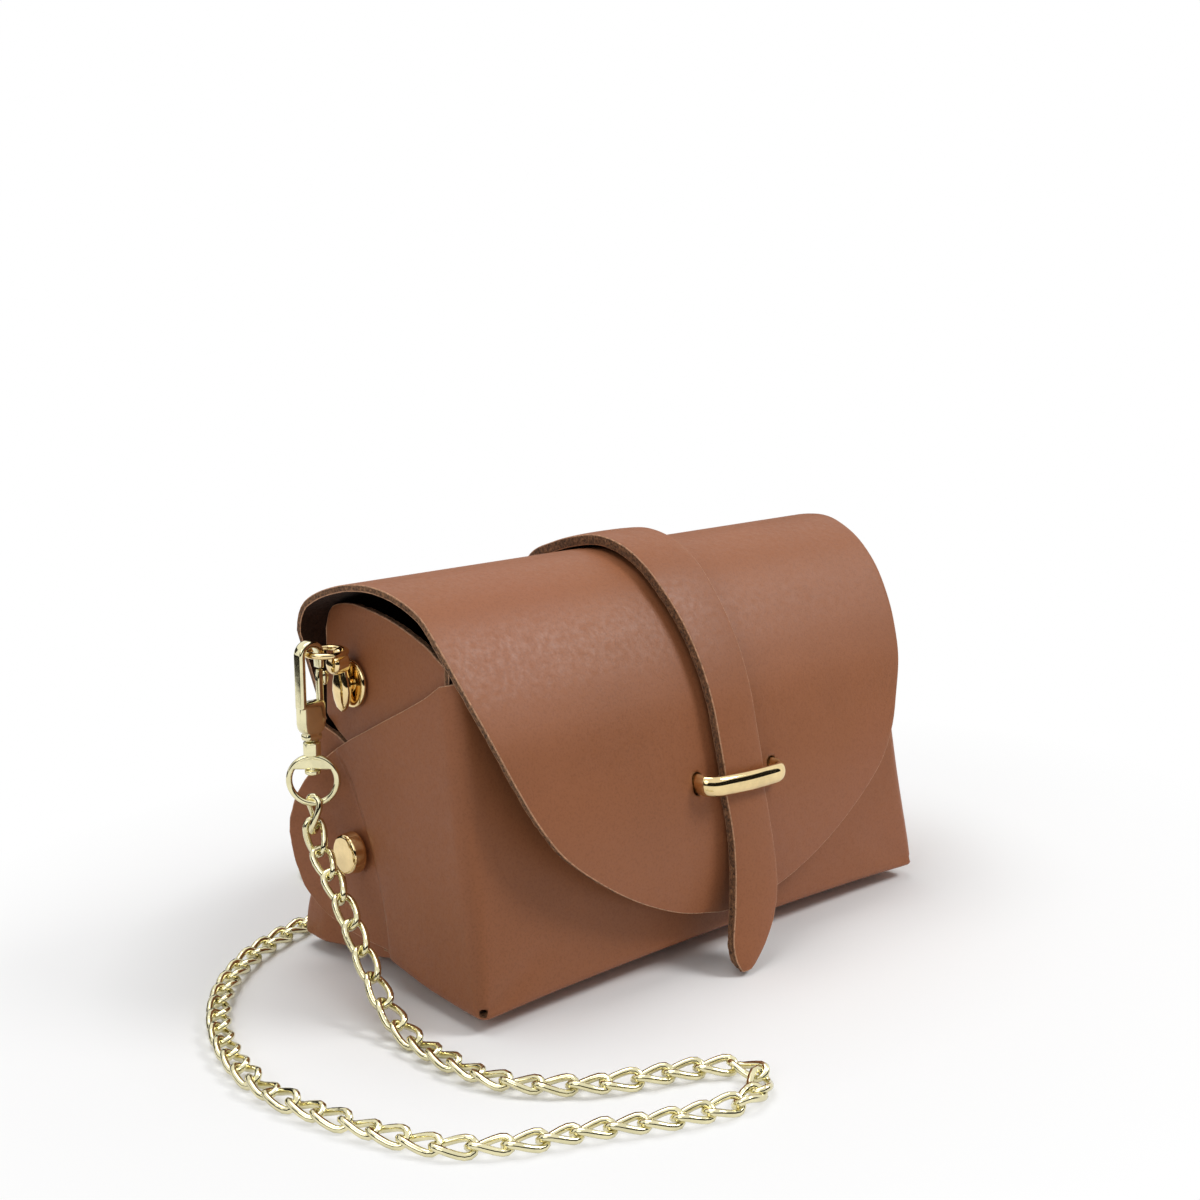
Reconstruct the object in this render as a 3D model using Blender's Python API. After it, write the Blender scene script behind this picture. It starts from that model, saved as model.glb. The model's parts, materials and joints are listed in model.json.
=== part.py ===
"""Small leather crossbody bag: folded leather blank, strap through a metal loop, curb chain.

Metres, +Z up. The bag's front looks along -Y, its width runs along X, and the origin lies
on the floor under the middle of the bottom panel.
"""
import math

import bmesh
import bpy
import numpy as np
from mathutils import Matrix, Vector

MM = 0.001

# Driving sizes of the leather body
base_width = 182 * MM
base_depth = 88 * MM
crown_height = 115.5 * MM
crown_rise = 17.5 * MM
front_drop = 5 * MM
wall_height = crown_height - crown_rise
front_height = wall_height - front_drop
flap_half_width = 94 * MM
edge_lift = 4 * MM
foot_width = 122 * MM
foot_depth = 54 * MM
front_lean = 16.5 * MM
rear_lean = 8 * MM
side_lean = 3 * MM
fold_radius = 5 * MM
leather = 2 * MM
gap = 0.3 * MM
cut_overrun = 6 * MM

# Front wings: the slanting crease, and the rounded tab that stands away behind it
crease_foot = 1 * MM
crease_slant = 24.6 * MM
crease_height = 63 * MM
tab_clear = 14.5 * MM
tab_flare = 7.5 * MM
tab_reach = 38 * MM

# Rear ears and the slit between an ear and the rear wall
slit_depth = 28 * MM
slit_height = wall_height - slit_depth
ear_rear = 32 * MM
ear_front = -29 * MM

# Strap and the loop that it passes
strap_width = 20 * MM
strap_neck = 16 * MM
strap_thickness = 3.2 * MM
strap_arch = 1.6 * MM
strap_foot_drop = 38 * MM
strap_foot = wall_height - strap_foot_drop
tongue_reach = 12.5 * MM
tongue_drift = 11.5 * MM
tongue_point = 20 * MM
tongue_end = 0.7 * MM
loop_span = 31 * MM
loop_height = 54 * MM
loop_tall = 6 * MM
loop_thick = 3.6 * MM
loop_bow = 1 * MM
slot_margin = 2 * MM
slot_drop = 11 * MM
loop_screw_head = 8 * MM
loop_screw_shank = 2.4 * MM
loop_screw_depth = 2 * MM
screw_head_thickness = 1.2 * MM

# Side rivets and the strap's rivet
rivet_y = 15.8 * MM
rivet_z = 36 * MM
rivet_head = 12 * MM
rivet_proud = 4 * MM
rivet_back = 9 * MM
rivet_back_thickness = 1.5 * MM
rivet_shank = 4 * MM
rivet_bore = 1.8 * MM
strap_rivet_drop = 28 * MM
strap_rivet_z = wall_height - strap_rivet_drop

# Ring studs on the ears
stud_y = 20 * MM
stud_drop = 14 * MM
stud_z = wall_height - stud_drop
stud_disc = 14 * MM
stud_disc_thickness = 1.3 * MM
stud_screw_head = 9 * MM
stud_pin = 2.2 * MM
ball_diameter = 7.5 * MM
ring_outer = 13 * MM
ring_wire = 2 * MM
ring_rise = 10.5 * MM
eye_width = 3 * MM

# Swivel snap hooks
hook_hang = 13.8 * MM
hook_block_low = stud_z - hook_hang
hook_block_tall = 11 * MM
hook_thickness = 3.8 * MM
claw_wire = 2 * MM
claw_radius = 3.1 * MM
claw_drop = 4 * MM
gate_wire = 2 * MM
gate_thickness = 1.6 * MM
gate_foot = 1.6 * MM
gate_rise = 11.4 * MM
gate_thumb = 1.8 * MM
gate_pin = 1 * MM
barrel_diameter = 5 * MM
barrel_height = 4.8 * MM
swivel_pin = 2 * MM
swivel_pin_length = 2.6 * MM
swivel_outer = 16 * MM
swivel_wire = 2.2 * MM
spring_wire = 0.35 * MM
spring_diameter = 1.1 * MM

# Chain
chain_width = 7.5 * MM
chain_end_gap = 2.1 * MM
link_length = 10.4 * MM
link_width = 7 * MM
link_wire = 1.9 * MM
chain_points = 80

# Numbers of steps that set how finely the solids are faceted
round_steps = 20
ring_steps = 24
wire_steps = 8
fold_steps = 4
wall_rows = 9

ring_turn = math.radians(-42)


def clear_scene():
    """Remove whatever the scene holds, so that the script can run in any file."""
    for old in list(bpy.data.objects):
        bpy.data.objects.remove(old, do_unlink=True)


def material(name, colour, roughness, metallic=0.0):
    """A Principled material of one colour."""
    made = bpy.data.materials.new(name)
    made.use_nodes = True
    shader = made.node_tree.nodes["Principled BSDF"]
    shader.inputs["Base Color"].default_value = (*colour, 1.0)
    shader.inputs["Roughness"].default_value = roughness
    shader.inputs["Metallic"].default_value = metallic
    return made


def new_object(name, mesh, finish):
    """Put a mesh into the scene under its sub-part's name."""
    made = bpy.data.objects.new(name, mesh)
    bpy.context.scene.collection.objects.link(made)
    made.data.materials.append(finish)
    return made


def mesh_from(name, points, faces):
    """A mesh from points and faces, with its faces turned outwards."""
    mesh = bpy.data.meshes.new(name)
    mesh.from_pydata([tuple(map(float, p)) for p in points], [], faces)
    work = bmesh.new()
    work.from_mesh(mesh)
    bmesh.ops.recalc_face_normals(work, faces=work.faces)
    work.to_mesh(mesh)
    work.free()
    return mesh


def smooth_curve(points, count):
    """Catmull-Rom curve through the points, read again at equal lengths."""
    route = np.array(points, dtype=float)
    before = 2 * route[0] - route[1]
    after = 2 * route[-1] - route[-2]
    ctrl = np.vstack([before, route, after])
    fine = []
    for i in range(1, len(ctrl) - 2):
        a, b, c, d = ctrl[i - 1], ctrl[i], ctrl[i + 1], ctrl[i + 2]
        t = np.linspace(0, 1, 24, endpoint=False)[:, None]
        fine.append(0.5 * (2 * b + (c - a) * t + (2 * a - 5 * b + 4 * c - d) * t ** 2
                           + (3 * b - a - 3 * c + d) * t ** 3))
    fine = np.vstack([*fine, route[-1:]])
    steps = np.linalg.norm(np.diff(fine, axis=0), axis=1)
    run = np.concatenate([[0], np.cumsum(steps)])
    at = np.linspace(0, run[-1], count)
    return np.stack([np.interp(at, run, fine[:, k]) for k in range(fine.shape[1])], axis=1)


def sheet(name, grid, finish, keep=None, thickness=leather, inward=(0, 0, 0)):
    """Leather of one thickness: its outer face is the grid, and it grows towards `inward`.

    `keep` marks the cells of the grid that are leather; the others are cut away.
    """
    rows, cols = grid.shape[:2]
    if keep is None:
        keep = np.ones((rows - 1, cols - 1), dtype=bool)
    faces = [(i * cols + j, i * cols + j + 1, (i + 1) * cols + j + 1, (i + 1) * cols + j)
             for i in range(rows - 1) for j in range(cols - 1) if keep[i, j]]
    used = sorted({k for face in faces for k in face})
    slot = {k: n for n, k in enumerate(used)}
    points = grid.reshape(-1, 3)[used]
    faces = [tuple(slot[k] for k in face) for face in faces]
    mesh = mesh_from(name, points, faces)
    middle = Vector(inward)
    first = mesh.polygons[len(mesh.polygons) // 2]
    if first.normal.dot(first.center - middle) < 0:
        mesh.flip_normals()
    made = new_object(name, mesh, finish)
    solid = made.modifiers.new("leather thickness", "SOLIDIFY")
    solid.thickness = thickness
    solid.offset = -1
    solid.use_even_offset = True
    solid.use_quality_normals = True
    return made


def tube(name, path, section, finish, closed=False, side=(0, 0, 1)):
    """Sweep a flat section along a path. The section's first axis lies across `side`."""
    path = np.array(path, dtype=float)
    section = np.array(section, dtype=float)
    if closed:
        along = np.roll(path, -1, axis=0) - np.roll(path, 1, axis=0)
    else:
        along = np.gradient(path, axis=0)
    along /= np.linalg.norm(along, axis=1)[:, None]
    up = np.array(side, dtype=float)
    across = np.cross(up, along)
    across /= np.linalg.norm(across, axis=1)[:, None]
    lift = np.cross(along, across)
    rings = (path[:, None, :] + section[None, :, 0, None] * across[:, None, :]
             + section[None, :, 1, None] * lift[:, None, :])
    count, corners = len(path), len(section)
    last = count if closed else count - 1
    faces = [(i * corners + j, i * corners + (j + 1) % corners,
              ((i + 1) % count) * corners + (j + 1) % corners, ((i + 1) % count) * corners + j)
             for i in range(last) for j in range(corners)]
    if not closed:
        faces.append(tuple(range(corners)))
        faces.append(tuple((count - 1) * corners + j for j in range(corners)))
    return new_object(name, mesh_from(name, rings.reshape(-1, 3), faces), finish)


def oval(width, height, steps=wire_steps):
    """Points of an oval section."""
    turn = np.arange(steps) * 2 * math.pi / steps
    return np.stack([width / 2 * np.cos(turn), height / 2 * np.sin(turn)], axis=1)


def turned(name, profile, finish, place, axis=(0, 0, 1), steps=round_steps):
    """Turn a profile of (radius, height) pairs round an axis that starts at a place.

    The first and last pairs lie on the axis, so the solid is closed.
    """
    turn = np.arange(steps) * 2 * math.pi / steps
    points = [(0, 0, profile[0][1])]
    for radius, height in profile[1:-1]:
        points += [(radius * math.cos(a), radius * math.sin(a), height) for a in turn]
    points.append((0, 0, profile[-1][1]))
    ring = len(profile) - 2
    end = len(points) - 1
    faces = [(0, 1 + (j + 1) % steps, 1 + j) for j in range(steps)]
    for i in range(ring - 1):
        low, high = 1 + i * steps, 1 + (i + 1) * steps
        faces += [(low + j, low + (j + 1) % steps, high + (j + 1) % steps, high + j)
                  for j in range(steps)]
    last = 1 + (ring - 1) * steps
    faces += [(end, last + j, last + (j + 1) % steps) for j in range(steps)]
    made = new_object(name, mesh_from(name, points, faces), finish)
    made.rotation_euler = Vector(axis).to_track_quat("Z", "Y").to_euler()
    made.location = place
    return made


def cut(target, cutter):
    """Take a cutter out of a piece, and keep the cutter out of the model."""
    cutter.hide_render = True
    cutter.display_type = "WIRE"
    step = target.modifiers.new("cut", "BOOLEAN")
    step.operation = "DIFFERENCE"
    step.object = cutter


def drill(targets, name, place, axis, diameter, depth):
    """Drill one round hole, centred on a place, through each target."""
    radius, half = diameter / 2, depth / 2
    profile = [(0, -half), (radius, -half), (radius, half), (0, half)]
    bit = turned(name, profile, targets[0].data.materials[0], place, axis)
    for target in targets:
        cut(target, bit)


def join(target, other):
    """Fuse a second solid into a piece, and hide the second."""
    other.hide_render = True
    other.display_type = "WIRE"
    step = target.modifiers.new("joined", "BOOLEAN")
    step.operation = "UNION"
    step.object = other


# Shape of the leather body. Each function gives the outer face of the leather.

def front_y(z):
    """The front wall leans back as it rises."""
    return -base_depth / 2 + front_lean * z / front_height


def rear_y(z):
    """The rear wall leans forward as it rises."""
    return base_depth / 2 - rear_lean * z / wall_height


def wing_x(z):
    """Half width over the front wings."""
    return base_width / 2 - side_lean * z / wall_height


def ear_x(z):
    """Half width over the rear ears, which lie inside the front wings."""
    return wing_x(z) - leather - gap


def crease_y(z):
    """Where the front wing's crease lies at a height."""
    return crease_foot + crease_slant * (z / crease_height) ** 2


def wing_face(y, z):
    """Half width of the front wing, with its tab standing away behind the crease."""
    start = crease_y(z) + tab_clear
    span = max(tab_reach - start, tab_clear)
    past = max(y - start, 0)
    return wing_x(z) + tab_flare * past / span


# Front wing's outline from the front fold to the tab's end: lower and upper edge.
# Places along Y are shares of the tab's reach, heights are shares of the front's height.
wing_low_shares = [(-1.0, 0.043), (-0.75, 0.046), (-0.42, 0.056), (0.03, 0.084), (0.30, 0.095),
                   (0.55, 0.108), (0.76, 0.134), (0.90, 0.190), (0.975, 0.280), (1.0, 0.340)]
wing_high_shares = [(-0.62, 0.995), (-0.45, 0.955), (-0.20, 0.885), (0.15, 0.790), (0.38, 0.735),
                    (0.57, 0.680), (0.74, 0.625), (0.88, 0.550), (0.965, 0.455), (1.0, 0.400)]

# Rear ear's outline from the slit to its front end, in shares of the ear's length and of
# the wall's height. The lower edge runs on from the rear fold.
ear_low_shares = [(0.0, 0.050), (0.22, 0.058), (0.45, 0.075), (0.70, 0.130), (0.88, 0.300),
                  (1.0, 0.600)]
ear_high_shares = [(0.0, 1.040), (0.15, 1.090), (0.33, 1.088), (0.58, 1.063), (0.80, 1.010),
                   (1.0, 0.945)]

# Flap from the rear seam over the crown to the lower edge: depth, height and half width,
# in shares of half the base's depth, of the crown's height and of the flap's half width.
flap_shares = [
    (0.811, 0.856, 1.000), (0.800, 0.883, 1.000), (0.742, 0.918, 1.000), (0.635, 0.945, 1.000),
    (0.477, 0.970, 0.998), (0.264, 0.992, 0.993), (0.034, 1.000, 0.985), (-0.170, 0.986, 0.968),
    (-0.380, 0.949, 0.952), (-0.560, 0.883, 0.945), (-0.720, 0.798, 0.925),
    (-0.834, 0.722, 0.899), (-0.920, 0.649, 0.870), (-0.985, 0.563, 0.826),
    (-1.045, 0.478, 0.775), (-1.083, 0.394, 0.700), (-1.102, 0.312, 0.580),
    (-1.110, 0.230, 0.425), (-1.110, 0.165, 0.250), (-1.108, 0.132, 0.090)]


def front_wall_grid():
    """Front wall with both wings: columns from the left tab round the front to the right."""
    low = np.array(wing_low_shares) * (tab_reach, front_height)
    high = np.array(wing_high_shares) * (tab_reach, front_height)
    rise = np.linspace(0, 1, wall_rows)
    columns = []
    for (y_low, z_low), (y_high, z_high) in zip(low[1:], high[1:]):
        column = []
        for t in rise:
            y, z = y_low + t * (y_high - y_low), z_low + t * (z_high - z_low)
            y = max(y, front_y(z) + fold_radius)
            column.append((-wing_face(y, z), y, z))
        columns.append(column)
    columns.reverse()
    z_low, z_high = low[0][1], high[0][1]
    for k in range(fold_steps + 1):
        turn = math.pi / 2 * k / fold_steps
        column = []
        for t in rise:
            z = z_low + t * (z_high - z_low)
            x = -(wing_x(z) - fold_radius) - fold_radius * math.cos(turn)
            y = front_y(z) + fold_radius - fold_radius * math.sin(turn)
            column.append((x, y, z))
        columns.append(column)
    flat = []
    for share in front_column_shares:
        flat.append([(-share * (wing_x(z) - fold_radius), front_y(z), z)
                     for z in z_low + rise * (z_high - z_low)])
    half = columns + flat
    grid = np.array(half)
    mirrored = grid[-2::-1] * (-1, 1, 1)
    return np.concatenate([grid, mirrored]).transpose(1, 0, 2)


front_column_shares = [0.75, 0.5, 0.25, 0.0]
rear_column_shares = [0.0, 0.3, 0.6, 0.85, 1.0]


def rear_wall_grid():
    """Rear wall with both ears, and which of its cells are leather.

    Rows rise from the floor to the slit's foot, then on to the top. Above the slit's foot
    the rear wall and the ear are apart, so the cells between them are cut away.
    """
    slit_row = wall_rows // 2
    below = np.linspace(0, 1, slit_row + 1)
    above = np.linspace(0, 1, wall_rows - slit_row)[1:]
    columns = []
    for share in rear_column_shares:
        column = []
        for t in below:
            z = edge_lift + t * (slit_height - edge_lift)
            column.append((share * (ear_x(z) - fold_radius), rear_y(z), z))
        for t in above:
            z = slit_height + t * (wall_height - slit_height)
            root = ear_x(slit_height) - fold_radius
            wide = root + t * (flap_half_width - root)
            column.append((share * wide, rear_y(z), z))
        columns.append(column)
    wall_columns = len(columns)
    for k in range(1, fold_steps + 1):
        turn = math.pi / 2 * k / fold_steps
        column = []
        for t in below:
            z = edge_lift + t * (slit_height - edge_lift)
            x = ear_x(z) - fold_radius + fold_radius * math.sin(turn)
            y = rear_y(z) - fold_radius + fold_radius * math.cos(turn)
            column.append((x, y, z))
        column += [column[-1]] * len(above)
        columns.append(column)
    span = np.array((ear_front - ear_rear, wall_height))
    start = np.array((ear_rear, 0))
    for low, high in zip(ear_low_shares, ear_high_shares):
        y_low, z_low = start + np.array(low) * span
        y_high, z_high = start + np.array(high) * span
        z_mid = min(max(slit_height, z_low + leather), z_high - leather)
        heights = [z_low + t * (z_mid - z_low) for t in below]
        heights += [z_mid + t * (z_high - z_mid) for t in above]
        column = []
        for z in heights:
            y = y_low + (z - z_low) / (z_high - z_low) * (y_high - y_low)
            column.append((ear_x(z), max(y, front_y(z) + fold_radius), z))
        columns.append(column)
    half = np.array(columns)
    mirrored = half[:0:-1] * (-1, 1, 1)
    grid = np.concatenate([mirrored, half]).transpose(1, 0, 2)
    keep = np.ones((grid.shape[0] - 1, grid.shape[1] - 1), dtype=bool)
    centre = len(mirrored)
    first = centre + wall_columns - 1
    last = first + fold_steps
    keep[slit_row:, first:last + 1] = False
    keep[slit_row:, centre - (last + 1 - centre):centre - (first - centre)] = False
    return grid, keep


def flap_profile(count):
    """The flap's outer face from the rear seam to its lower edge, with its half width."""
    sizes = np.array((base_depth / 2, crown_height, flap_half_width))
    return smooth_curve(np.array(flap_shares) * sizes, count)


def outward(profile):
    """Unit normals of a (y, z) profile that runs from the rear over the top to the front."""
    along = np.gradient(profile[:, :2], axis=0)
    along /= np.linalg.norm(along, axis=1)[:, None]
    return np.stack([along[:, 1], -along[:, 0]], axis=1)


def prism(name, outline, axis_start, depth, finish):
    """Extrude an (x, z) outline along Y, centred on a place along Y."""
    count = len(outline)
    points = [(x, axis_start + side * depth / 2, z) for side in (-1, 1) for x, z in outline]
    faces = [tuple(range(count)), tuple(count + k for k in range(count))]
    faces += [(k, (k + 1) % count, count + (k + 1) % count, count + k) for k in range(count)]
    return new_object(name, mesh_from(name, points, faces), finish)


def block(name, low, high, finish):
    """A box between two corners."""
    outline = [(low[0], low[2]), (high[0], low[2]), (high[0], high[2]), (low[0], high[2])]
    return prism(name, outline, (low[1] + high[1]) / 2, high[1] - low[1], finish)


def pivot(name, place):
    """An empty on a joint's axis, which carries the pieces that move with the joint."""
    empty = bpy.data.objects.new(name, None)
    bpy.context.scene.collection.objects.link(empty)
    empty.location = place
    return empty


def hang(carrier, *pieces):
    """Parent pieces to a pivot without moving them."""
    for piece in pieces:
        piece.parent = carrier
        piece.matrix_parent_inverse = Matrix.Translation(-carrier.location)


def build_bottom(leathers):
    """Bottom panel: flat where it stands, and rising a little to its four edges."""
    half_x = ear_x(0) - leather - fold_radius / 2
    half_y = base_depth / 2 - leather - gap
    lean = side_lean * edge_lift / wall_height
    xs = sorted({sign * v for v in (half_x - lean, foot_width / 2) for sign in (-1, 1)})
    ys = sorted({sign * v for v in (half_y, foot_depth / 2) for sign in (-1, 1)})
    grid = np.array([[(x, y, edge_lift if y in (ys[0], ys[-1]) or x in (xs[0], xs[-1]) else 0)
                      for x in xs] for y in ys])
    squeeze = (edge_lift + leather) / front_height * front_lean
    grid[0, :, 1] += squeeze
    grid[-1, :, 1] -= squeeze
    above = (0, 0, crown_height)
    return sheet("bottom_panel", grid, leathers, inward=above)


def build_flap(leathers):
    """Curved flap with the slot that the metal loop stands through."""
    profile = flap_profile(26)
    across = np.linspace(-1, 1, 9)
    grid = np.stack([np.stack([across * w, np.full(9, y), np.full(9, z)], axis=1)
                     for y, z, w in profile])
    flap = sheet("flap", grid, leathers, inward=(0, 0, rivet_z))
    half = loop_span / 2 + loop_thick / 2 + slot_margin
    front = -base_depth / 2 - strap_thickness - leather - cut_overrun
    back = front_y(loop_height) - gap
    low = loop_height - loop_tall / 2 - slot_drop
    high = loop_height + loop_tall / 2 + slot_margin
    cut(flap, block("flap_slot_cutter", (-half, front, low), (half, back, high), leathers))
    return flap


# Arch of the strap over the rear fold: place along the flap's profile, share of the arch
strap_arch_shares = [(0.0, 0.35), (0.05, 0.9), (0.12, 1.0), (0.22, 0.7), (0.34, 0.2), (0.45, 0.0)]

# Free tongue below the loop: shares of its reach and of the loop's height
tongue_shares = [(0.144, 0.833), (0.25, 0.667), (0.376, 0.5), (0.544, 0.333), (0.752, 0.167)]

# Where the strap narrows from its full width to its neck: share of its length, share narrowed
strap_taper_shares = [(0.0, 0.0), (0.25, 0.1), (0.42, 0.8), (0.55, 1.0)]

# Half width towards the tongue's tip: share of the point's length, share of the half width
tongue_tip_shares = [(0.0, 0.22), (0.12, 0.5), (0.3, 0.76), (0.6, 0.94), (1.0, 1.0)]


def strap_line():
    """The strap's inner face from behind the rear wall over the flap to the tongue's tip."""
    profile = flap_profile(60)
    lift = outward(profile)
    share = np.linspace(0, 1, len(profile))
    arch = np.interp(share, *np.array(strap_arch_shares).T) * strap_arch
    held = profile[:, 1] > loop_height
    held |= profile[:, 0] > 0
    over = (profile[:, :2] + lift * (gap + arch)[:, None])[held][::3]
    start_z = wall_height - strap_thickness * 2
    start = [(rear_y(start_z) + gap, start_z)]
    root = np.interp(loop_height, profile[::-1, 1], profile[::-1, 0]) - gap
    tongue = [(root, loop_height)]
    tongue += [(root - tongue_reach * a, loop_height * b) for a, b in tongue_shares]
    tongue.append((root - tongue_reach, tongue_end))
    return np.vstack([start, over, tongue])


def build_strap(leathers):
    """Strap: a riveted foot on the rear wall, and the long piece that ends in the tongue."""
    line = smooth_curve(strap_line(), 44)
    normal = outward(line)
    outer = line + normal * strap_thickness
    run = np.concatenate([[0], np.cumsum(np.linalg.norm(np.diff(line, axis=0), axis=1))])
    left = (run[-1] - run) / tongue_point
    taper = np.interp(run / run[-1], *np.array(strap_taper_shares).T)
    half = (strap_width + (strap_neck - strap_width) * taper) / 2
    half *= np.interp(left, *np.array(tongue_tip_shares).T)
    fall = np.clip((loop_height - line[:, 1]) / loop_height, 0, 1) * (line[:, 0] < 0)
    drift = -tongue_drift * fall ** 4
    rows = [[(d + s * h, y, z) for s in (-1, -0.33, 0.33, 1)]
            for (y, z), h, d in zip(outer, half, drift)]
    strap = sheet("strap", np.array(rows), leathers, thickness=strap_thickness,
                  inward=(0, 0, rivet_z))
    top = wall_height - strap_thickness * 2 - gap
    heights = np.linspace(strap_foot, top, 4)
    rows = [[(s * strap_width / 2, rear_y(z) + gap + strap_thickness, z) for s in (-1, 0, 1)]
            for z in heights]
    foot = sheet("strap_back", np.array(rows), leathers, thickness=strap_thickness,
                 inward=(0, 0, rivet_z))
    return strap, foot


def build_loop(metal, walls):
    """Metal loop on the front wall, and the two screws that hold its legs from inside."""
    root = front_y(loop_height - loop_tall / 2) - gap
    seat = strap_line()
    bar = np.interp(loop_height, seat[::-1, 1], seat[::-1, 0]) - strap_thickness - gap
    bar -= loop_thick / 2
    half = loop_span / 2
    corner = half - strap_neck / 2 - slot_margin
    route = [(-half, root), (-half, (root + bar) / 2), (-half, bar + corner),
             (-half + corner * 0.25, bar + corner * 0.35), (-half + corner, bar),
             (-half + corner * 2, bar - loop_bow * 0.6), (0, bar - loop_bow)]
    route += [(-x, y) for x, y in route[-2::-1]]
    path = [(x, y, loop_height) for x, y in smooth_curve(route, 30)]
    path[0] = (-half, root, loop_height)
    path[-1] = (half, root, loop_height)
    loop = tube("strap_loop", path, oval(loop_thick, loop_tall, 10), metal)
    inner = front_y(loop_height) + leather + gap * 2
    for side, word in ((-1, "left"), (1, "right")):
        place = (side * half, inner, loop_height)
        thread = leather + gap * 2 + loop_screw_depth
        profile = [(0, thread), (loop_screw_shank / 2, thread), (loop_screw_shank / 2, 0),
                   (loop_screw_head / 2, 0), (loop_screw_head / 2, -screw_head_thickness),
                   (0, -screw_head_thickness)]
        lean = (0, -1, front_lean / front_height)
        turned("loop_screw_" + word, profile, metal, place, axis=lean, steps=12)
        drill([walls, loop], "loop_hole_" + word, place, lean,
              loop_screw_shank + gap * 2, 2 * (thread + gap))
    return loop


def build_rivets(metal, front, rear, foot):
    """Side rivets through wing and ear, and the rivet of the strap's foot."""
    grip = leather * 2 + gap
    for side, word in ((-1, "left"), (1, "right")):
        lean = (side, 0, side_lean / wall_height)
        place = (side * (wing_x(rivet_z) + gap), rivet_y, rivet_z)
        through = grip + gap * 2
        bore, shank, head = rivet_bore / 2, rivet_shank / 2, rivet_head / 2
        edge = rivet_proud / 5
        cap = [(0, -leather), (bore, -leather), (bore, -through), (shank, -through), (shank, 0),
               (head, 0), (head, rivet_proud - edge), (head - edge, rivet_proud),
               (0, rivet_proud)]
        turned("side_rivet_cap_" + word, cap, metal, place, axis=lean)
        back, pin = rivet_back / 2, rivet_bore / 2 - gap
        under = -through - gap
        base = [(0, -leather - gap), (pin, -leather - gap), (pin, under), (back, under),
                (back, under - rivet_back_thickness), (0, under - rivet_back_thickness)]
        turned("side_rivet_back_" + word, base, metal, place, axis=lean)
        drill([front, rear], "side_rivet_hole_" + word, place, lean,
              rivet_shank + gap * 2, 2 * (through + gap))
    lean = (0, 1, rear_lean / wall_height)
    y = rear_y(strap_rivet_z) + gap * 2 + strap_thickness
    place = (0, y, strap_rivet_z)
    through = leather + strap_thickness + gap * 3
    bore, shank, head = rivet_bore / 2, rivet_shank / 2, rivet_back / 2
    cap = [(0, -leather), (bore, -leather), (bore, -through), (shank, -through), (shank, 0),
           (head, 0), (head - gap, rivet_back_thickness), (0, rivet_back_thickness)]
    turned("strap_rivet_cap", cap, metal, place, axis=lean)
    under = -through - gap
    pin = bore - gap
    base = [(0, -leather - gap), (pin, -leather - gap), (pin, under), (head, under),
            (head, under - rivet_back_thickness), (0, under - rivet_back_thickness)]
    turned("strap_rivet_back", base, metal, place, axis=lean)
    drill([rear, foot], "strap_rivet_hole", place, lean, rivet_shank + gap * 2,
          2 * (through + gap))


def build_stud(metal, side, word, rear):
    """Fixed disc on the ear with its inner screw, and the ring stud that turns on it."""
    lean = (side, 0, side_lean / wall_height)
    face = ear_x(stud_z) + gap
    place = (side * face, stud_y, stud_z)
    disc, neck, bore = stud_disc / 2, stud_pin / 2, rivet_bore / 2
    edge = stud_disc_thickness / 3
    reach = stud_disc_thickness + gap + ball_diameter / 2
    shape = [(0, stud_disc_thickness / 2), (bore, stud_disc_thickness / 2), (bore, 0), (disc, 0),
             (disc, stud_disc_thickness - edge), (disc - edge, stud_disc_thickness),
             (neck, stud_disc_thickness), (neck, reach), (0, reach)]
    turned("stud_" + word, shape, metal, place, axis=lean)
    pin, head = bore - gap, stud_screw_head / 2
    inside = -leather - gap * 2
    screw = [(0, stud_disc_thickness / 2 - gap), (pin, stud_disc_thickness / 2 - gap),
             (pin, inside), (head, inside), (head, inside - screw_head_thickness),
             (0, inside - screw_head_thickness)]
    turned("stud_screw_" + word, screw, metal, place, axis=lean)
    drill([rear], "stud_hole_" + word, place, lean, rivet_bore + gap, 2 * leather + stud_disc)
    ball_x = side * (face + reach)
    ball = ball_diameter / 2
    turns = [math.pi * k / 8 for k in range(9)]
    ball_profile = [(ball * math.sin(a), -ball * math.cos(a)) for a in turns]
    ball_profile[0] = (0, -ball)
    ball_profile[-1] = (0, ball)
    centre = (ball_x, stud_y, stud_z)
    casting = turned("ring_stud_" + word, ball_profile, metal, centre, axis=lean)
    half = ring_outer / 2 - ring_wire / 2
    ring_x = side * (hook_x() - half)
    turn = np.arange(ring_steps) * 2 * math.pi / ring_steps
    path = [(ring_x + half * math.cos(a), stud_y + half * math.sin(a), stud_z + ring_rise)
            for a in turn]
    ring = tube("ring_guide_" + word, path, oval(ring_wire, ring_wire, 8), metal, closed=True)
    stem_x = ring_x - side * half
    slant = Vector((stem_x - ball_x, 0, ring_rise))
    stem_profile = [(0, 0), (eye_width / 2, 0), (eye_width / 2, slant.length), (0, slant.length)]
    stem = turned("stem_guide_" + word, stem_profile, metal, centre, axis=slant, steps=12)
    join(casting, stem)
    join(casting, ring)
    drill([casting], "ring_stud_bore_" + word, place, lean, stud_pin + gap * 2,
          2 * (reach + gap))
    return casting


def hook_x():
    """Distance of a hook's bar, on the stud's ring, from the middle of the bag."""
    ring_start = ear_x(stud_z) + gap + stud_disc_thickness + gap + ball_diameter * 0.2
    return ring_start + ring_outer - ring_wire


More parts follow.
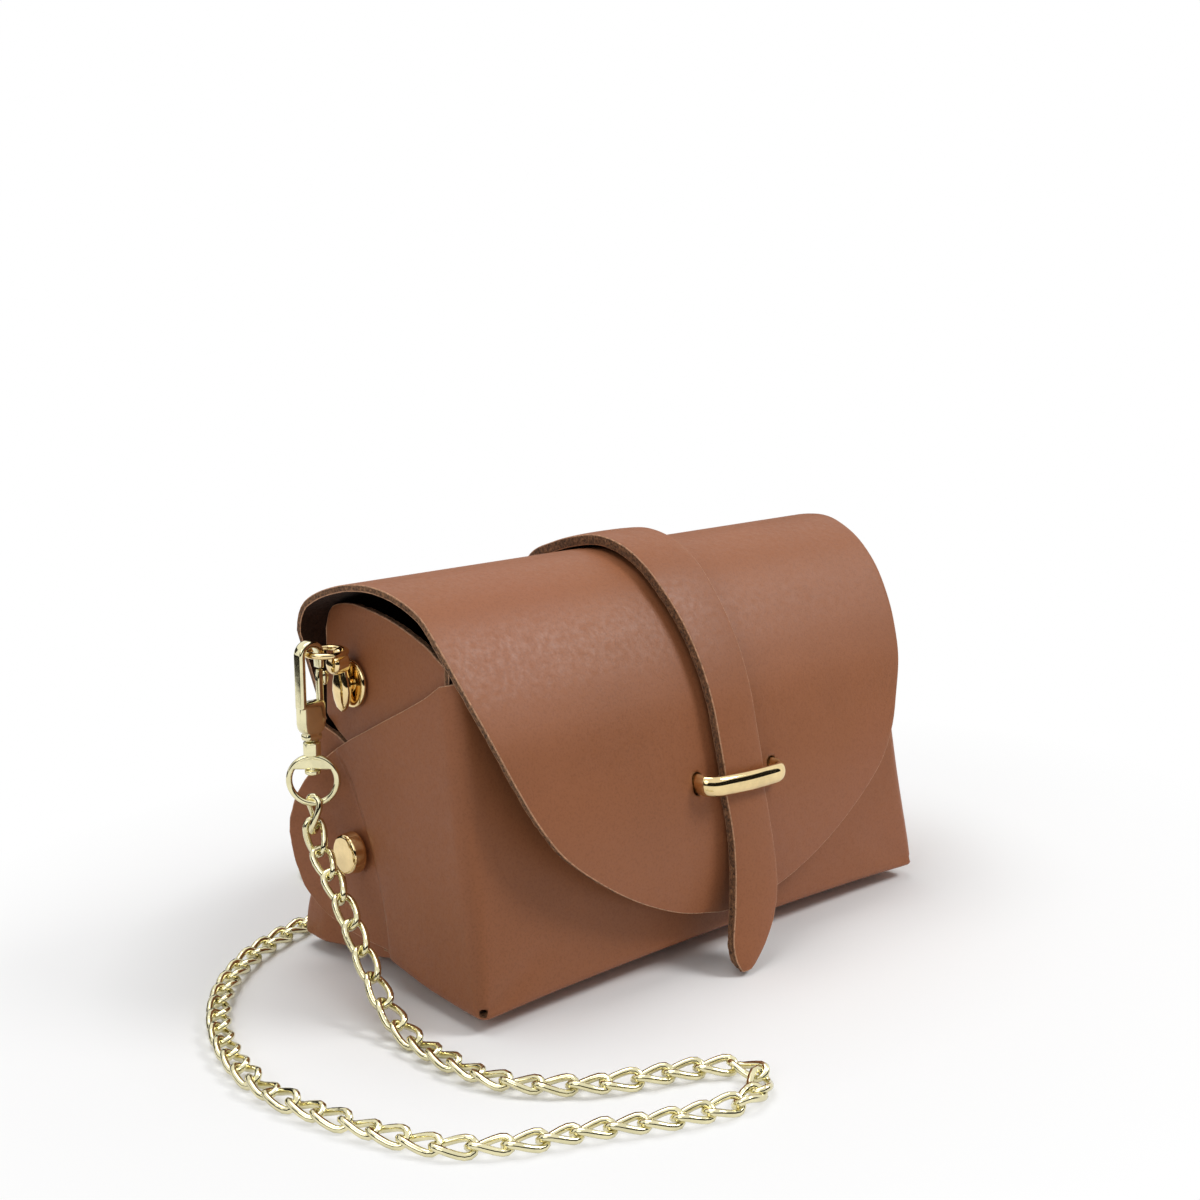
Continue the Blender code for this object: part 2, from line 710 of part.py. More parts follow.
def build_hook(metal, side, word):
    """Snap hook: body with its claw, gate with pin and spring, swivel ring and end link."""
    bar_x, bar_z = hook_x(), stud_z + ring_rise
    leg = bar_x + claw_radius
    tip = bar_x - claw_radius
    top = hook_block_low + hook_block_tall
    half = claw_wire / 2
    turns = [math.pi * k / 8 for k in range(9)]
    outer = [(bar_x + (claw_radius + half) * math.cos(a),
              bar_z + (claw_radius + half) * math.sin(a)) for a in turns]
    inner = [(bar_x + (claw_radius - half) * math.cos(a),
              bar_z + (claw_radius - half) * math.sin(a)) for a in turns]
    tip_z = bar_z - claw_drop
    outline = [(leg + half, hook_block_low), *outer, (tip - half, tip_z), (tip + half, tip_z),
               *inner[::-1], (leg - half, top), (tip - half, top), (tip - half, hook_block_low)]
    outline = [(side * x, z) for x, z in outline]
    body = prism("hook_body_" + word, outline, stud_y, hook_thickness, metal)
    foot_z = top - hook_block_tall / 2
    wide = gate_thickness / 2 + gap
    slot_low = (side * (tip - half - gap), stud_y - wide, foot_z - gate_foot - gap)
    slot_high = (side * (leg - half), stud_y + wide, top + gap)
    low = tuple(min(a, b) for a, b in zip(slot_low, slot_high))
    high = tuple(max(a, b) for a, b in zip(slot_low, slot_high))
    cut(body, block("gate_slot_cutter_" + word, low, high, metal))
    pin_place = (side * tip, stud_y, foot_z)
    drill([body], "gate_pin_hole_" + word, pin_place, (0, 1, 0), gate_pin + gap * 2,
          hook_thickness + gap * 2)
    pin_half = hook_thickness / 2
    pin = turned("gate_pin_" + word, [(0, -pin_half), (gate_pin / 2, -pin_half),
                 (gate_pin / 2, pin_half), (0, pin_half)], metal, pin_place, (0, 1, 0), steps=10)
    wire = gate_wire / 2
    thumb_z = foot_z + gate_rise
    gate_outline = [(tip + wire, foot_z - gate_foot), (tip + wire, tip_z - gap),
                    (tip - wire, tip_z - gap), (tip - wire - gate_thumb, thumb_z + gate_thumb),
                    (tip - wire - gate_thumb, thumb_z), (tip - wire, thumb_z - gate_foot),
                    (tip - wire, foot_z - gate_foot)]
    gate_outline = [(side * x, z) for x, z in gate_outline]
    gate = prism("gate_" + word, gate_outline, stud_y, gate_thickness, metal)
    drill([gate], "gate_hole_" + word, pin_place, (0, 1, 0), gate_pin + gap * 2,
          hook_thickness + gap * 2)
    coil_start, coil_end = tip + wire + gap, leg - half - gap
    coil_turns = 4
    count = coil_turns * 8 + 1
    share = np.linspace(0, 1, count)
    radius = (spring_diameter - spring_wire) / 2
    wind = share * coil_turns * 2 * math.pi
    ends = spring_wire / 2
    route = np.stack([side * (coil_start + ends + share * (coil_end - coil_start - 2 * ends)),
                      stud_y + radius * np.cos(wind),
                      foot_z + gate_foot + radius * np.sin(wind)], axis=1)
    spring = tube("gate_spring_" + word, route, oval(spring_wire, spring_wire, 5), metal,
                  side=(1, 0, 0))
    axis_x = side * bar_x
    bore_place = (axis_x, stud_y, hook_block_low)
    drill([body], "swivel_bore_" + word, bore_place, (0, 0, 1), swivel_pin + gap * 2,
          2 * (swivel_pin_length + gap))
    middle = (swivel_outer - swivel_wire) / 2
    ring_z = hook_block_low - gap - barrel_height + swivel_wire / 2 - middle
    turn = np.arange(ring_steps) * 2 * math.pi / ring_steps
    along = np.array((math.cos(ring_turn), math.sin(ring_turn)))
    path = [(axis_x + middle * math.cos(a) * along[0], stud_y + middle * math.cos(a) * along[1],
             ring_z + middle * math.sin(a)) for a in turn]
    face = (-along[1], along[0], 0)
    swivel = tube("swivel_ring_" + word, path, oval(swivel_wire, swivel_wire, 8), metal,
                  closed=True, side=face)
    barrel, pin_r = barrel_diameter / 2, swivel_pin / 2
    barrel_profile = [(0, -barrel_height), (barrel, -barrel_height), (barrel, 0), (pin_r, 0),
                      (pin_r, swivel_pin_length), (0, swivel_pin_length)]
    stem = turned("swivel_guide_" + word, barrel_profile, metal,
                  (axis_x, stud_y, hook_block_low - gap), steps=14)
    join(swivel, stem)
    link_z = ring_z - middle + swivel_wire / 2 + gap + link_wire - link_length / 2
    link_path = link_curve(ring_steps)
    cross = np.array((-along[1], along[0]))
    path = [(axis_x + a * cross[0], stud_y + a * cross[1], link_z + b) for a, b in link_path]
    link = tube("chain_end_link_" + word, path, oval(link_wire, link_wire, 8), metal,
                closed=True, side=(along[0], along[1], 0))
    return body, pin, gate, spring, swivel, link, pin_place


def link_curve(count):
    """A link's middle line: an oval with flattened sides."""
    turn = np.arange(count) * 2 * math.pi / count
    wide, tall = (link_width - link_wire) / 2, (link_length - link_wire) / 2
    return [(wide * math.copysign(abs(math.cos(a)) ** 0.8, math.cos(a)), tall * math.sin(a))
            for a in turn]


# The chain's route, chosen by hand: from the left end link down to the floor, round in front
# of the bag and back behind it, to and fro there, and up to the right link. X in shares of the
# hook's distance, Y past the studs in shares of the base's depth, height in shares of the hang.
chain_route_shares = [
    (-0.9997, 0.0000, 1.0000), (-1.0007, -0.0170, 0.8980), (-1.0096, -0.0852, 0.7908),
    (-1.0246, -0.2023, 0.5969), (-1.0445, -0.3386, 0.3342), (-1.0644, -0.4716, 0.1224),
    (-1.0763, -0.6023, 0.0179), (-1.0813, -0.7330, 0.0000), (-1.0723, -0.9091, 0.0000),
    (-1.0196, -1.0625, 0.0000), (-0.8754, -1.2114, 0.0000), (-0.6565, -1.3182, 0.0000),
    (-0.5570, -1.3977, 0.0000), (-0.5650, -1.4886, 0.0000), (-0.6764, -1.5455, 0.0000),
    (-0.8495, -1.4977, 0.0000), (-1.0295, -1.4000, 0.0000), (-1.2553, -1.2841, 0.0000),
    (-1.3926, -1.1023, 0.0000), (-1.5040, -0.5795, 0.0000), (-1.3628, -0.0739, 0.0000),
    (-1.0345, 0.2727, 0.0000), (-0.4974, 0.4091, 0.0000), (0.4974, 0.4091, 0.0000),
    (0.7958, 0.3636, 0.0000), (0.9599, 0.4318, 0.0000), (0.9500, 0.6080, 0.0000),
    (0.7759, 0.6534, 0.0000), (0.2984, 0.5966, 0.0000), (-0.3680, 0.5682, 0.0000),
    (-0.5769, 0.6477, 0.0000), (-0.5620, 0.8352, 0.0000), (-0.3780, 0.8807, 0.0000),
    (0.0995, 0.8182, 0.0000), (0.8455, 0.8239, 0.0000), (1.1837, 0.5455, 0.0383),
    (1.1738, 0.2955, 0.2296), (1.0793, 0.1250, 0.5867), (1.0007, 0.0091, 0.8980),
    (0.9997, 0.0000, 1.0000)]


def chain_route():
    """Points of the chain's route, between its rest on the floor and the two end links."""
    rest = chain_width / 2 + gap
    ring_low = hook_block_low - gap - barrel_height + swivel_wire - swivel_outer
    link_low = ring_low + swivel_wire + gap + link_wire - link_length
    hang_height = link_low - chain_end_gap - rest
    return [(x * hook_x(), stud_y + y * base_depth, rest + z * hang_height)
            for x, y, z in chain_route_shares]


def build_chain(metal):
    """The chain's plain solid: one tube along its route."""
    points = smooth_curve(chain_route(), chain_points)
    run = np.linalg.norm(np.diff(points, axis=0), axis=1).sum()
    print("chain length", round(float(run), 4))
    curve = bpy.data.curves.new("chain", "CURVE")
    curve.dimensions = "3D"
    curve.bevel_depth = chain_width / 2
    curve.bevel_resolution = 2
    curve.use_fill_caps = True
    line = curve.splines.new("POLY")
    line.points.add(len(points) - 1)
    for slot, place in zip(line.points, points):
        slot.co = (*map(float, place), 1.0)
    made = bpy.data.objects.new("chain", curve)
    bpy.context.scene.collection.objects.link(made)
    made.data.materials.append(metal)
    return made


def main():
    """Build every sub-part, and parent the moving ones to their joint's pivot."""
    clear_scene()
    leathers = material("tan leather", (0.31, 0.13, 0.065), 0.5)
    gold = material("warm gold", (0.83, 0.62, 0.33), 0.2, 1.0)
    pale = material("pale gold", (0.78, 0.70, 0.42), 0.25, 1.0)
    above = (0, 0, rivet_z)
    front = sheet("front_panel", front_wall_grid(), leathers, inward=above)
    grid, keep = rear_wall_grid()
    rear = sheet("back_panel", grid, leathers, keep=keep, inward=above)
    build_bottom(leathers)
    flap = build_flap(leathers)
    strap, foot = build_strap(leathers)
    build_loop(gold, front)
    build_rivets(gold, front, rear, foot)
    hinge_place = (0, rear_y(wall_height) + gap * 2, wall_height + gap)
    hinge = pivot("flap_hinge", hinge_place)
    draw = pivot("strap_draw_line", (0, front_y(loop_height), loop_height))
    hang(hinge, flap, draw)
    hang(draw, strap)
    for side, word in ((-1, "left"), (1, "right")):
        casting = build_stud(gold, side, word, rear)
        body, pin, gate, spring, swivel, link, gate_place = build_hook(pale, side, word)
        stud_turn = pivot("stud_turn_" + word, (side * ear_x(stud_z), stud_y, stud_z))
        gate_turn = pivot("gate_turn_" + word, gate_place)
        swivel_turn = pivot("swivel_turn_" + word, (side * hook_x(), stud_y, hook_block_low))
        hang(stud_turn, casting, body, pin, spring, gate_turn, swivel_turn)
        hang(gate_turn, gate)
        hang(swivel_turn, swivel, link)
        print(word, "hook x", round(hook_x(), 5), "gate", [round(v, 5) for v in gate_place])
    build_chain(pale)
    print("hinge", [round(v, 5) for v in hinge_place])


main()
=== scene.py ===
"""Small crossbody handbag: folded tan leather, a strap through a gold loop, and a curb chain.

Metres, +Z up. The bag's front looks along -Y, its width runs along X, and the origin lies on
the floor under the middle of the bottom. Sizes in the tables are in millimetres, apart from
the chain's route and the camera's place.
"""
import json
import math

import bmesh
import bpy
import numpy as np
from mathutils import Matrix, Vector


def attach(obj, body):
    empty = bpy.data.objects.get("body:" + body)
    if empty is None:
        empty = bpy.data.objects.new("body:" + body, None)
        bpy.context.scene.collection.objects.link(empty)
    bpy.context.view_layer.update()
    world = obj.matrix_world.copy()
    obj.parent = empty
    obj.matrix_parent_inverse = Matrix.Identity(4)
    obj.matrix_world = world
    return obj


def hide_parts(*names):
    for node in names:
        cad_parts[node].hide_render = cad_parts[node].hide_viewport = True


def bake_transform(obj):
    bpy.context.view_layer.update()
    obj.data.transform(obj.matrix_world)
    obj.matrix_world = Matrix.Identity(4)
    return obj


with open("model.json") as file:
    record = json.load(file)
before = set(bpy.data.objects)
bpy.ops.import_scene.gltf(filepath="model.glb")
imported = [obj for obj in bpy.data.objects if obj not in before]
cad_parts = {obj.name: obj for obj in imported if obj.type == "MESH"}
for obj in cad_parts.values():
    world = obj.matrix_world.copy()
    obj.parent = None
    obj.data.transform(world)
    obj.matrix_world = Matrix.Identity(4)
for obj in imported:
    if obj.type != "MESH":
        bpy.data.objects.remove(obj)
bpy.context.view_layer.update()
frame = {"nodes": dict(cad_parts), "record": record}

bl_info = {
    "name": "Leather handbag",
    "version": (1, 0, 0),
    "blender": (4, 5, 0),
    "location": "View3D > Sidebar > Handbag",
    "description": "Builds a small leather handbag with its strap, metal fittings and chain",
    "category": "Object",
}

MM = 0.001
LEAST_FACES = 100
SIDES = ((-1, "left"), (1, "right"))

# Outer faces of the leather body, in millimetres, and a point in its middle
BASE_DEPTH, BASE_WIDTH = 88.0, 182.0
WALL_HEIGHT, FRONT_HEIGHT, CROWN_HEIGHT = 98.0, 93.0, 115.5
FLAP_HALF_WIDTH = 94.0
FRONT_LEAN, REAR_LEAN, SIDE_LEAN = 16.5, 8.0, 3.0
FOLD_RADIUS, FOLD_RADIUS_FOOT = 5.0, 3.2
MIDDLE = (0.0, 0.0, 40.0)

# Play between pieces
GAP = 0.3

# The sides: crease, foot of the slit between rear wall and ear, how far the tab's flare starts
# behind the crease low down, above 54 mm and at its top, and the most that it flares
CREASE_FOOT, CREASE_SLANT, CREASE_HEIGHT = 1.0, 24.6, 63.0
CREASE_DEPTH, CREASE_STEEP, CREASE_EASE = 1.7, 1.5, 8.0
SLIT_HEIGHT = 70.0
TAB_CLEARS, FLARE_LIMIT = (14.5, 1.5, -4.0), 9.5

# Foot that the bag stands on; the lower edges' lift, and their bow at the front and at the sides
FOOT_WIDTH, FOOT_DEPTH, EDGE_LIFT = 122.0, 54.0, 4.0
EDGE_BOW, SIDE_BOW = 1.7, 3.9

# Bottom: how far it ends inside the walls in width and depth, its rim's lift over their lower
# edges, and its play over the floor
BOTTOM_IN, RIM_LIFT, FLOOR_PLAY = (1.5, 2.6), 0.35, 0.02

# Hems turned under: radius at front and rear, the front's wider part and the flat end
HEM, HEM_WIDER, HEM_FLAT, REAR_HEM = 1.7, 0.5, 1.3, 1.2
LEAST_FOLD = 0.2

# Bulge of the rear folds at their foot and under the ear, and the forms of the loose leather
BULGE_FOOT, BULGE_EAR = 2.4, 3.0
PUCKER_DEPTH, PUCKER_WIDTH, BELLY, EAR_BOW = 0.7, 3.2, 0.3, 0.8

# Chance length of the fibres along a cut edge
FRAY = (-0.14, 0.16)

# Loop: height of its bar, distance of its legs, its section, and its play in the flap's holes
LOOP_HEIGHT, LOOP_SPAN, LOOP_TALL, LOOP_THICK = 54.0, 31.0, 6.0, 3.6
HOLE_PLAY = (0.35, 0.4)

# Strap: its tongue's lean and end, foot and rivet behind, where its two runs meet on the roof,
# where its edges start to drift, and how far its face is crowned
STRAP_THICKNESS, TONGUE_REACH, TONGUE_END = 3.2, 12.5, 0.7
STRAP_FOOT, STRAP_RIVET = 60.0, 70.0
SPLIT_DEPTH, SPLIT_HEIGHT, ROOF_FRONT, STRAP_CROWN = 18.0, 105.0, 2.0, 0.35

# Side rivets, ring studs and snap hooks
RIVET_Y, RIVET_Z = 15.8, 36.0
STUD_Y, STUD_Z = 20.0, 84.0
HOOK_X, HOOK_BLOCK_LOW, RING_RISE = 100.53, 70.2, 10.5
CLAW_RADIUS, GATE_RISE = 3.1, 5.5
RING_TURN = math.radians(-42)

# Chain: height of its upper ends and of its rest on the floor, length of each lead, and how
# far inside the ends the first and last links lie
CHAIN_END, CHAIN_REST, LEAD_LENGTH, LINK_INSET = 43.2, 2.5, 36.0, 1.3

# A link's twist out of its plane in millimetres, and in radians its roll by chance and from
# link to link
LINK_TWIST, LINK_CHANCE, LINK_ROLL = 1.05, 0.2, 0.10

# Where a hanging link's flat side looks on the right of the bag
HANG_FACE = np.array((0.62, -0.78, 0.1))

# Camera: place in metres, turn to the right and tilt down
CAMERA_PLACE = (-0.3603, -0.3880, 0.2085)
CAMERA_TURN, CAMERA_TILT = math.radians(42.04), math.radians(11.67)

# Lower and upper edge of a front wing, and of a rear ear: depth and height
WING_LOW = [(-40.0, 4.0), (-28.5, 4.2), (-16.0, 5.2), (1.1, 7.8), (11.4, 8.8), (20.9, 10.0),
            (28.9, 12.5), (34.2, 17.7), (37.0, 26.0), (38.0, 32.2)]
WING_HIGH = [(-22.6, 91.2), (-16.4, 86.9), (-7.0, 81.6), (2.7, 76.5),
             (11.7, 71.7), (19.9, 67.3), (26.0, 63.2), (29.6, 58.5), (33.2, 52.5),
             (36.5, 45.0), (38.0, 38.0)]
EAR_LOW = [(33.4, 4.9), (18.6, 5.7), (4.6, 7.4), (-10.7, 12.7), (-21.7, 29.4), (-29.0, 58.8)]
EAR_HIGH = [(33.4, 97.0), (33.3, 99.6), (32.4, 102.4), (31.0, 104.1), (28.4, 105.2),
            (25.0, 105.9), (19.9, 106.2), (10.1, 105.3), (-0.4, 103.4), (-12.3, 100.0),
            (-18.5, 97.2), (-24.6, 94.4), (-29.0, 92.2)]

# How far the wing's tab flares out at its edge, by height, and where that edge lies
TAB_FLARES = [(8, 0.0), (12, 1.0), (17, 3.0), (22, 4.9), (28, 6.2), (35, 7.1), (42, 7.6),
              (50, 7.3), (54, 6.3), (58, 4.8), (63, 2.0), (67, 0.0)]
TAB_EDGES = [(8, 14.0), (10, 20.9), (12.5, 28.9), (17.7, 34.2), (26, 37.0), (35, 38.0),
             (45, 36.5), (52.5, 33.2), (58.5, 29.6), (63.2, 26.0), (67.3, 19.9)]

# Flap from the rear seam over the crown to the tip: depth, height and half width, in shares of
# half the base's depth, the crown's height and the flap's half width
FLAP_LINE = [
    (0.811, 0.856, 1.000), (0.800, 0.883, 1.000), (0.742, 0.918, 1.000), (0.635, 0.945, 1.000),
    (0.477, 0.970, 0.998), (0.264, 0.992, 0.993), (0.034, 1.000, 0.985), (-0.170, 0.986, 0.968),
    (-0.380, 0.949, 0.952), (-0.560, 0.883, 0.945), (-0.720, 0.798, 0.925),
    (-0.834, 0.722, 0.899), (-0.920, 0.649, 0.870), (-0.985, 0.563, 0.826),
    (-1.045, 0.478, 0.775), (-1.083, 0.394, 0.700), (-1.102, 0.312, 0.580),
    (-1.110, 0.230, 0.425), (-1.110, 0.165, 0.250), (-1.108, 0.132, 0.090)]
FLAP_SCALE = (BASE_DEPTH / 2, CROWN_HEIGHT, FLAP_HALF_WIDTH)

# How far the strap stands off the flap: share of the flap's line and distance. Below them the
# tongue, in shares of its reach and of the loop's height
STRAP_ARCHES = [(0.0, 0.1), (0.10, 0.15), (0.148, 0.4), (0.182, 1.0), (0.245, 1.6),
                (0.306, 1.4), (0.37, 1.1), (0.44, 1.1), (0.51, 1.0), (0.57, 0.9), (0.63, 0.7),
                (0.69, 0.3), (0.74, 0.0)]
TONGUE = [(0.144, 0.833), (0.25, 0.667), (0.376, 0.5), (0.544, 0.333), (0.752, 0.167)]

# Left and right edge of the strap's front run, by height
STRAP_EDGES = [
    (120.5, -10.0, 10.0), (118.0, -10.0, 9.9), (115.0, -10.0, 9.7), (112.0, -9.9, 9.6),
    (108.0, -9.3, 9.6), (103.0, -8.3, 9.7), (97.0, -7.4, 9.9), (91.0, -7.0, 9.8),
    (85.0, -6.8, 9.4), (77.0, -6.9, 8.8), (68.5, -6.8, 8.5), (60.0, -6.8, 8.5),
    (50.0, -6.8, 8.4), (44.0, -6.2, 9.0), (37.0, -5.6, 9.8), (28.0, -6.3, 10.2),
    (22.0, -7.7, 9.5), (17.0, -9.1, 8.0), (12.5, -10.8, 5.4), (9.6, -11.9, 2.9),
    (6.6, -12.4, -0.3), (4.6, -12.3, -3.0), (2.6, -11.6, -6.0), (1.2, -10.6, -8.9)]

# The chain's route in metres: from the left end link down to the floor, round in front of the
# bag and back behind it, to and fro there, and up to the right end link
CHAIN_ROUTE = [
    (-0.1005, 0.0200, 0.0432), (-0.1006, 0.0185, 0.0392), (-0.1015, 0.0125, 0.0350),
    (-0.1030, 0.0022, 0.0274), (-0.1050, -0.0098, 0.0171), (-0.1070, -0.0215, 0.0088),
    (-0.1082, -0.0330, 0.0047), (-0.1087, -0.0445, 0.0040), (-0.1078, -0.0600, 0.0040),
    (-0.1025, -0.0735, 0.0040), (-0.0880, -0.0866, 0.0040), (-0.0660, -0.0960, 0.0040),
    (-0.0560, -0.1030, 0.0040), (-0.0568, -0.1110, 0.0040), (-0.0680, -0.1160, 0.0040),
    (-0.0854, -0.1118, 0.0040), (-0.1035, -0.1032, 0.0040), (-0.1262, -0.0930, 0.0040),
    (-0.1400, -0.0770, 0.0040), (-0.1512, -0.0310, 0.0040), (-0.1370, 0.0135, 0.0040),
    (-0.1040, 0.0440, 0.0040), (-0.0500, 0.0560, 0.0040), (0.0500, 0.0560, 0.0040),
    (0.0800, 0.0520, 0.0040), (0.0965, 0.0580, 0.0040), (0.0955, 0.0735, 0.0040),
    (0.0780, 0.0775, 0.0040), (0.0300, 0.0725, 0.0040), (-0.0370, 0.0700, 0.0040),
    (-0.0580, 0.0770, 0.0040), (-0.0565, 0.0935, 0.0040), (-0.0380, 0.0975, 0.0040),
    (0.0100, 0.0920, 0.0040), (0.0850, 0.0925, 0.0040),
    (0.1190, 0.0680, 0.0055), (0.1180, 0.0460, 0.0130), (0.1085, 0.0310, 0.0270),
    (0.1006, 0.0208, 0.0392), (0.1005, 0.0200, 0.0432)]


def srgb(red, green, blue):
    """Linear colour of an 8-bit one: each share c becomes ((c + 0.055) / 1.055) ** 2.4."""
    shares = np.array((red, green, blue)) / 255
    low, high = shares / 12.92, ((shares + 0.055) / 1.055) ** 2.4
    return tuple(float(v) for v in np.where(shares <= 0.04045, low, high))


def settings():
    """The sizes and colours that a user may change."""
    return bpy.context.scene.handbag


# Lines and surfaces

def smooth_line(points, count):
    """Catmull-Rom curve through the points, in 24 steps a span, read at equal lengths."""
    route = np.array(points, dtype=float)
    ctrl = np.vstack([2 * route[0] - route[1], route, 2 * route[-1] - route[-2]])
    a, b, c, d = (ctrl[k:len(ctrl) - 3 + k][:, None, :] for k in range(4))
    t = np.linspace(0, 1, 24, endpoint=False)[None, :, None]
    fine = 0.5 * (2 * b + (c - a) * t + (2 * a - 5 * b + 4 * c - d) * t ** 2
                  + (3 * b - a - 3 * c + d) * t ** 3)
    fine = np.vstack([fine.reshape(-1, route.shape[1]), route[-1:]])
    return reread(fine, np.linspace(0, 1, count))


def reread(points, shares):
    """Points of a line at given shares of its length."""
    steps = np.linalg.norm(np.diff(points, axis=0), axis=1)
    run = np.concatenate([[0], np.cumsum(steps)])
    at = shares * run[-1]
    return np.stack([np.interp(at, run, points[:, k]) for k in range(points.shape[1])], axis=1)


def unit(vectors):
    """Vectors of length one."""
    return vectors / np.maximum(np.linalg.norm(vectors, axis=-1, keepdims=True), 1e-12)


def soft_step(x, low, high):
    """3t^2 - 2t^3 of the share t of the way from low to high."""
    t = np.clip((x - low) / (high - low), 0, 1)
    return t * t * (3 - 2 * t)


def grid_faces(rows, cols, keep=None, closed=False):
    """Quads of a grid of rows and columns; `closed` joins the last column to the first."""
    i, j = np.meshgrid(np.arange(rows - 1), np.arange(cols if closed else cols - 1),
                       indexing="ij")
    k = (j + 1) % cols
    faces = np.stack([i * cols + j, i * cols + k, (i + 1) * cols + k, (i + 1) * cols + j], -1)
    return faces[keep] if keep is not None else faces.reshape(-1, 4)


def compact(points, faces):
    """Points without those that no face uses, and the faces on them."""
    used, slot = np.unique(faces, return_inverse=True)
    return points[used], slot.reshape(faces.shape)


def point_normals(points, faces):
    """Unit normal at a point: the sum of its faces' diagonals' cross products."""
    a, b, c, d = (points[faces[:, k]] for k in range(4))
    flat = np.cross(c - a, d - b)
    total = np.zeros_like(points)
    for k in range(4):
        np.add.at(total, faces[:, k], flat)
    return unit(total)


def facing_out(points, faces):
    """The faces, turned over if they look towards the bag's middle."""
    away = point_normals(points, faces) * (points - MIDDLE)
    return faces[:, ::-1] if np.sum(away) < 0 else faces


def shell(points, faces, thick, bend):
    """Leather of one thickness under an outer face, with soft-cornered cut edges.

    The inner face lies `thick` behind the outer one along its normals. Round the boundary
    runs a rim: out by bend * sin(a) and in by bend * (1 - cos(a)), straight on, and back the
    same way, where it is frayed by a small chance length. Gives points, quads and each
    quad's finish: 0 face, 1 cut edge, 2 inside, 3 painted highlight on the rim's corners.
    """
    normal = point_normals(points, faces)
    count = len(points)
    edges = np.stack([faces, np.roll(faces, -1, axis=1)], axis=2).reshape(-1, 2)
    key = edges.min(1) * count + edges.max(1)
    _, first, times = np.unique(key, return_index=True, return_counts=True)
    rim = edges[first[times == 1]]
    verts = np.unique(rim)
    slot = np.searchsorted(verts, rim)
    side = unit(np.cross(points[rim[:, 1]] - points[rim[:, 0]],
                         normal[rim[:, 0]] + normal[rim[:, 1]]))
    out = np.zeros((len(verts), 3))
    np.add.at(out, slot[:, 0], side)
    np.add.at(out, slot[:, 1], side)
    out = unit(out)
    turn = np.radians([25, 55, 90])
    a = bend * np.sin(turn)
    b = bend * (1 - np.cos(turn))
    offsets = [(a[0], b[0], 0), (a[1], b[1], 0), (a[2], b[2], 0), (bend, thick * 0.42, 0.2),
               (bend, thick * 0.7, 0.6), (a[2], thick - b[2], 1), (a[1], thick - b[1], 1),
               (a[0], thick - b[0], 0.4)]
    fray = np.random.default_rng(11).uniform(*FRAY, len(verts))[:, None]
    rings = [points[verts] + out * (p + fray * f) - normal[verts] * q for p, q, f in offsets]
    starts = [verts] + [2 * count + k * len(verts) + np.arange(len(verts))
                        for k in range(len(rings))] + [verts + count]
    rim_faces = [np.stack([low[slot[:, 1]], low[slot[:, 0]], high[slot[:, 0]],
                           high[slot[:, 1]]], axis=1)
                 for low, high in zip(starts[:-1], starts[1:])]
    finish = [np.zeros(len(faces), int), np.full(len(faces), 2)]
    # Kind 3 is a pale colour painted on the rounded corners of the cut edges as their highlight
    finish += [np.full(len(rim), kind) for kind in (3, 3, 3, 1, 1, 1, 3, 3, 2)]
    all_points = np.vstack([points, points - normal * thick, *rings])
    all_faces = np.vstack([faces, faces[:, ::-1] + count, *rim_faces])
    return all_points, all_faces, np.concatenate(finish)


def sweep(path, section, lift, closed=False, sizes=None):
    """A closed section carried along a path: P(s, t) = path(s) + x(t) * across + y(t) * lift.

    `lift` is a direction, or one for each point; `across` is lift x tangent. Open ends are
    closed with a row of quads across them. `sizes` scales the section along the path.
    """
    path, section = np.array(path, float), np.array(section, float)
    if closed:
        along = np.roll(path, -1, axis=0) - np.roll(path, 1, axis=0)
    else:
        along = np.gradient(path, axis=0)
    along = unit(along)
    lift = np.broadcast_to(np.array(lift, float), path.shape)
    across = unit(np.cross(lift, along))
    lift = np.cross(along, across)
    sizes = np.ones(len(path)) if sizes is None else np.array(sizes, float)
    rings = (path[:, None] + (section[None, :, :1] * across[:, None]
                              + section[None, :, 1:] * lift[:, None]) * sizes[:, None, None])
    n = len(section)
    if closed:
        rings = np.vstack([rings, rings[:1]])
        faces = grid_faces(len(path) + 1, n, closed=True) % (len(path) * n)
        return rings[:-1].reshape(-1, 3), faces[:, ::-1]
    faces = grid_faces(len(path), n, closed=True)[:, ::-1]
    k = np.arange(n // 2 - 1)
    cap = np.stack([k, k + 1, n - 2 - k, n - 1 - k], axis=1)
    end = cap + (len(path) - 1) * n
    return rings.reshape(-1, 3), np.vstack([faces, cap, end[:, ::-1]])


def round_section(width, height, steps, power=1.0):
    """An oval of two half sizes: (w cos a, h sin a), squarer where `power` is under 1."""
    turn = np.arange(steps) * 2 * math.pi / steps
    cos, sin = np.cos(turn), np.sin(turn)
    return np.stack([width / 2 * np.sign(cos) * np.abs(cos) ** power,
                     height / 2 * np.sign(sin) * np.abs(sin) ** power], axis=1)


def lathe(profile, place, axis, steps=48):
    """A profile of (radius, height) pairs turned round an axis: (r cos a, r sin a, h).

    Where the radius is 0, a ring's points merge into a pole.
    """
    rings = np.array(profile, float)
    turn = np.arange(steps) * 2 * math.pi / steps
    points = np.stack([rings[:, :1] * np.cos(turn), rings[:, :1] * np.sin(turn),
                       np.broadcast_to(rings[:, 1:], (len(rings), steps))], axis=-1)
    faces = grid_faces(len(rings), steps, closed=True)
    turned = np.array(Vector(axis).to_track_quat("Z", "Y").to_matrix())
    return points.reshape(-1, 3) @ turned.T + np.array(place, float), faces


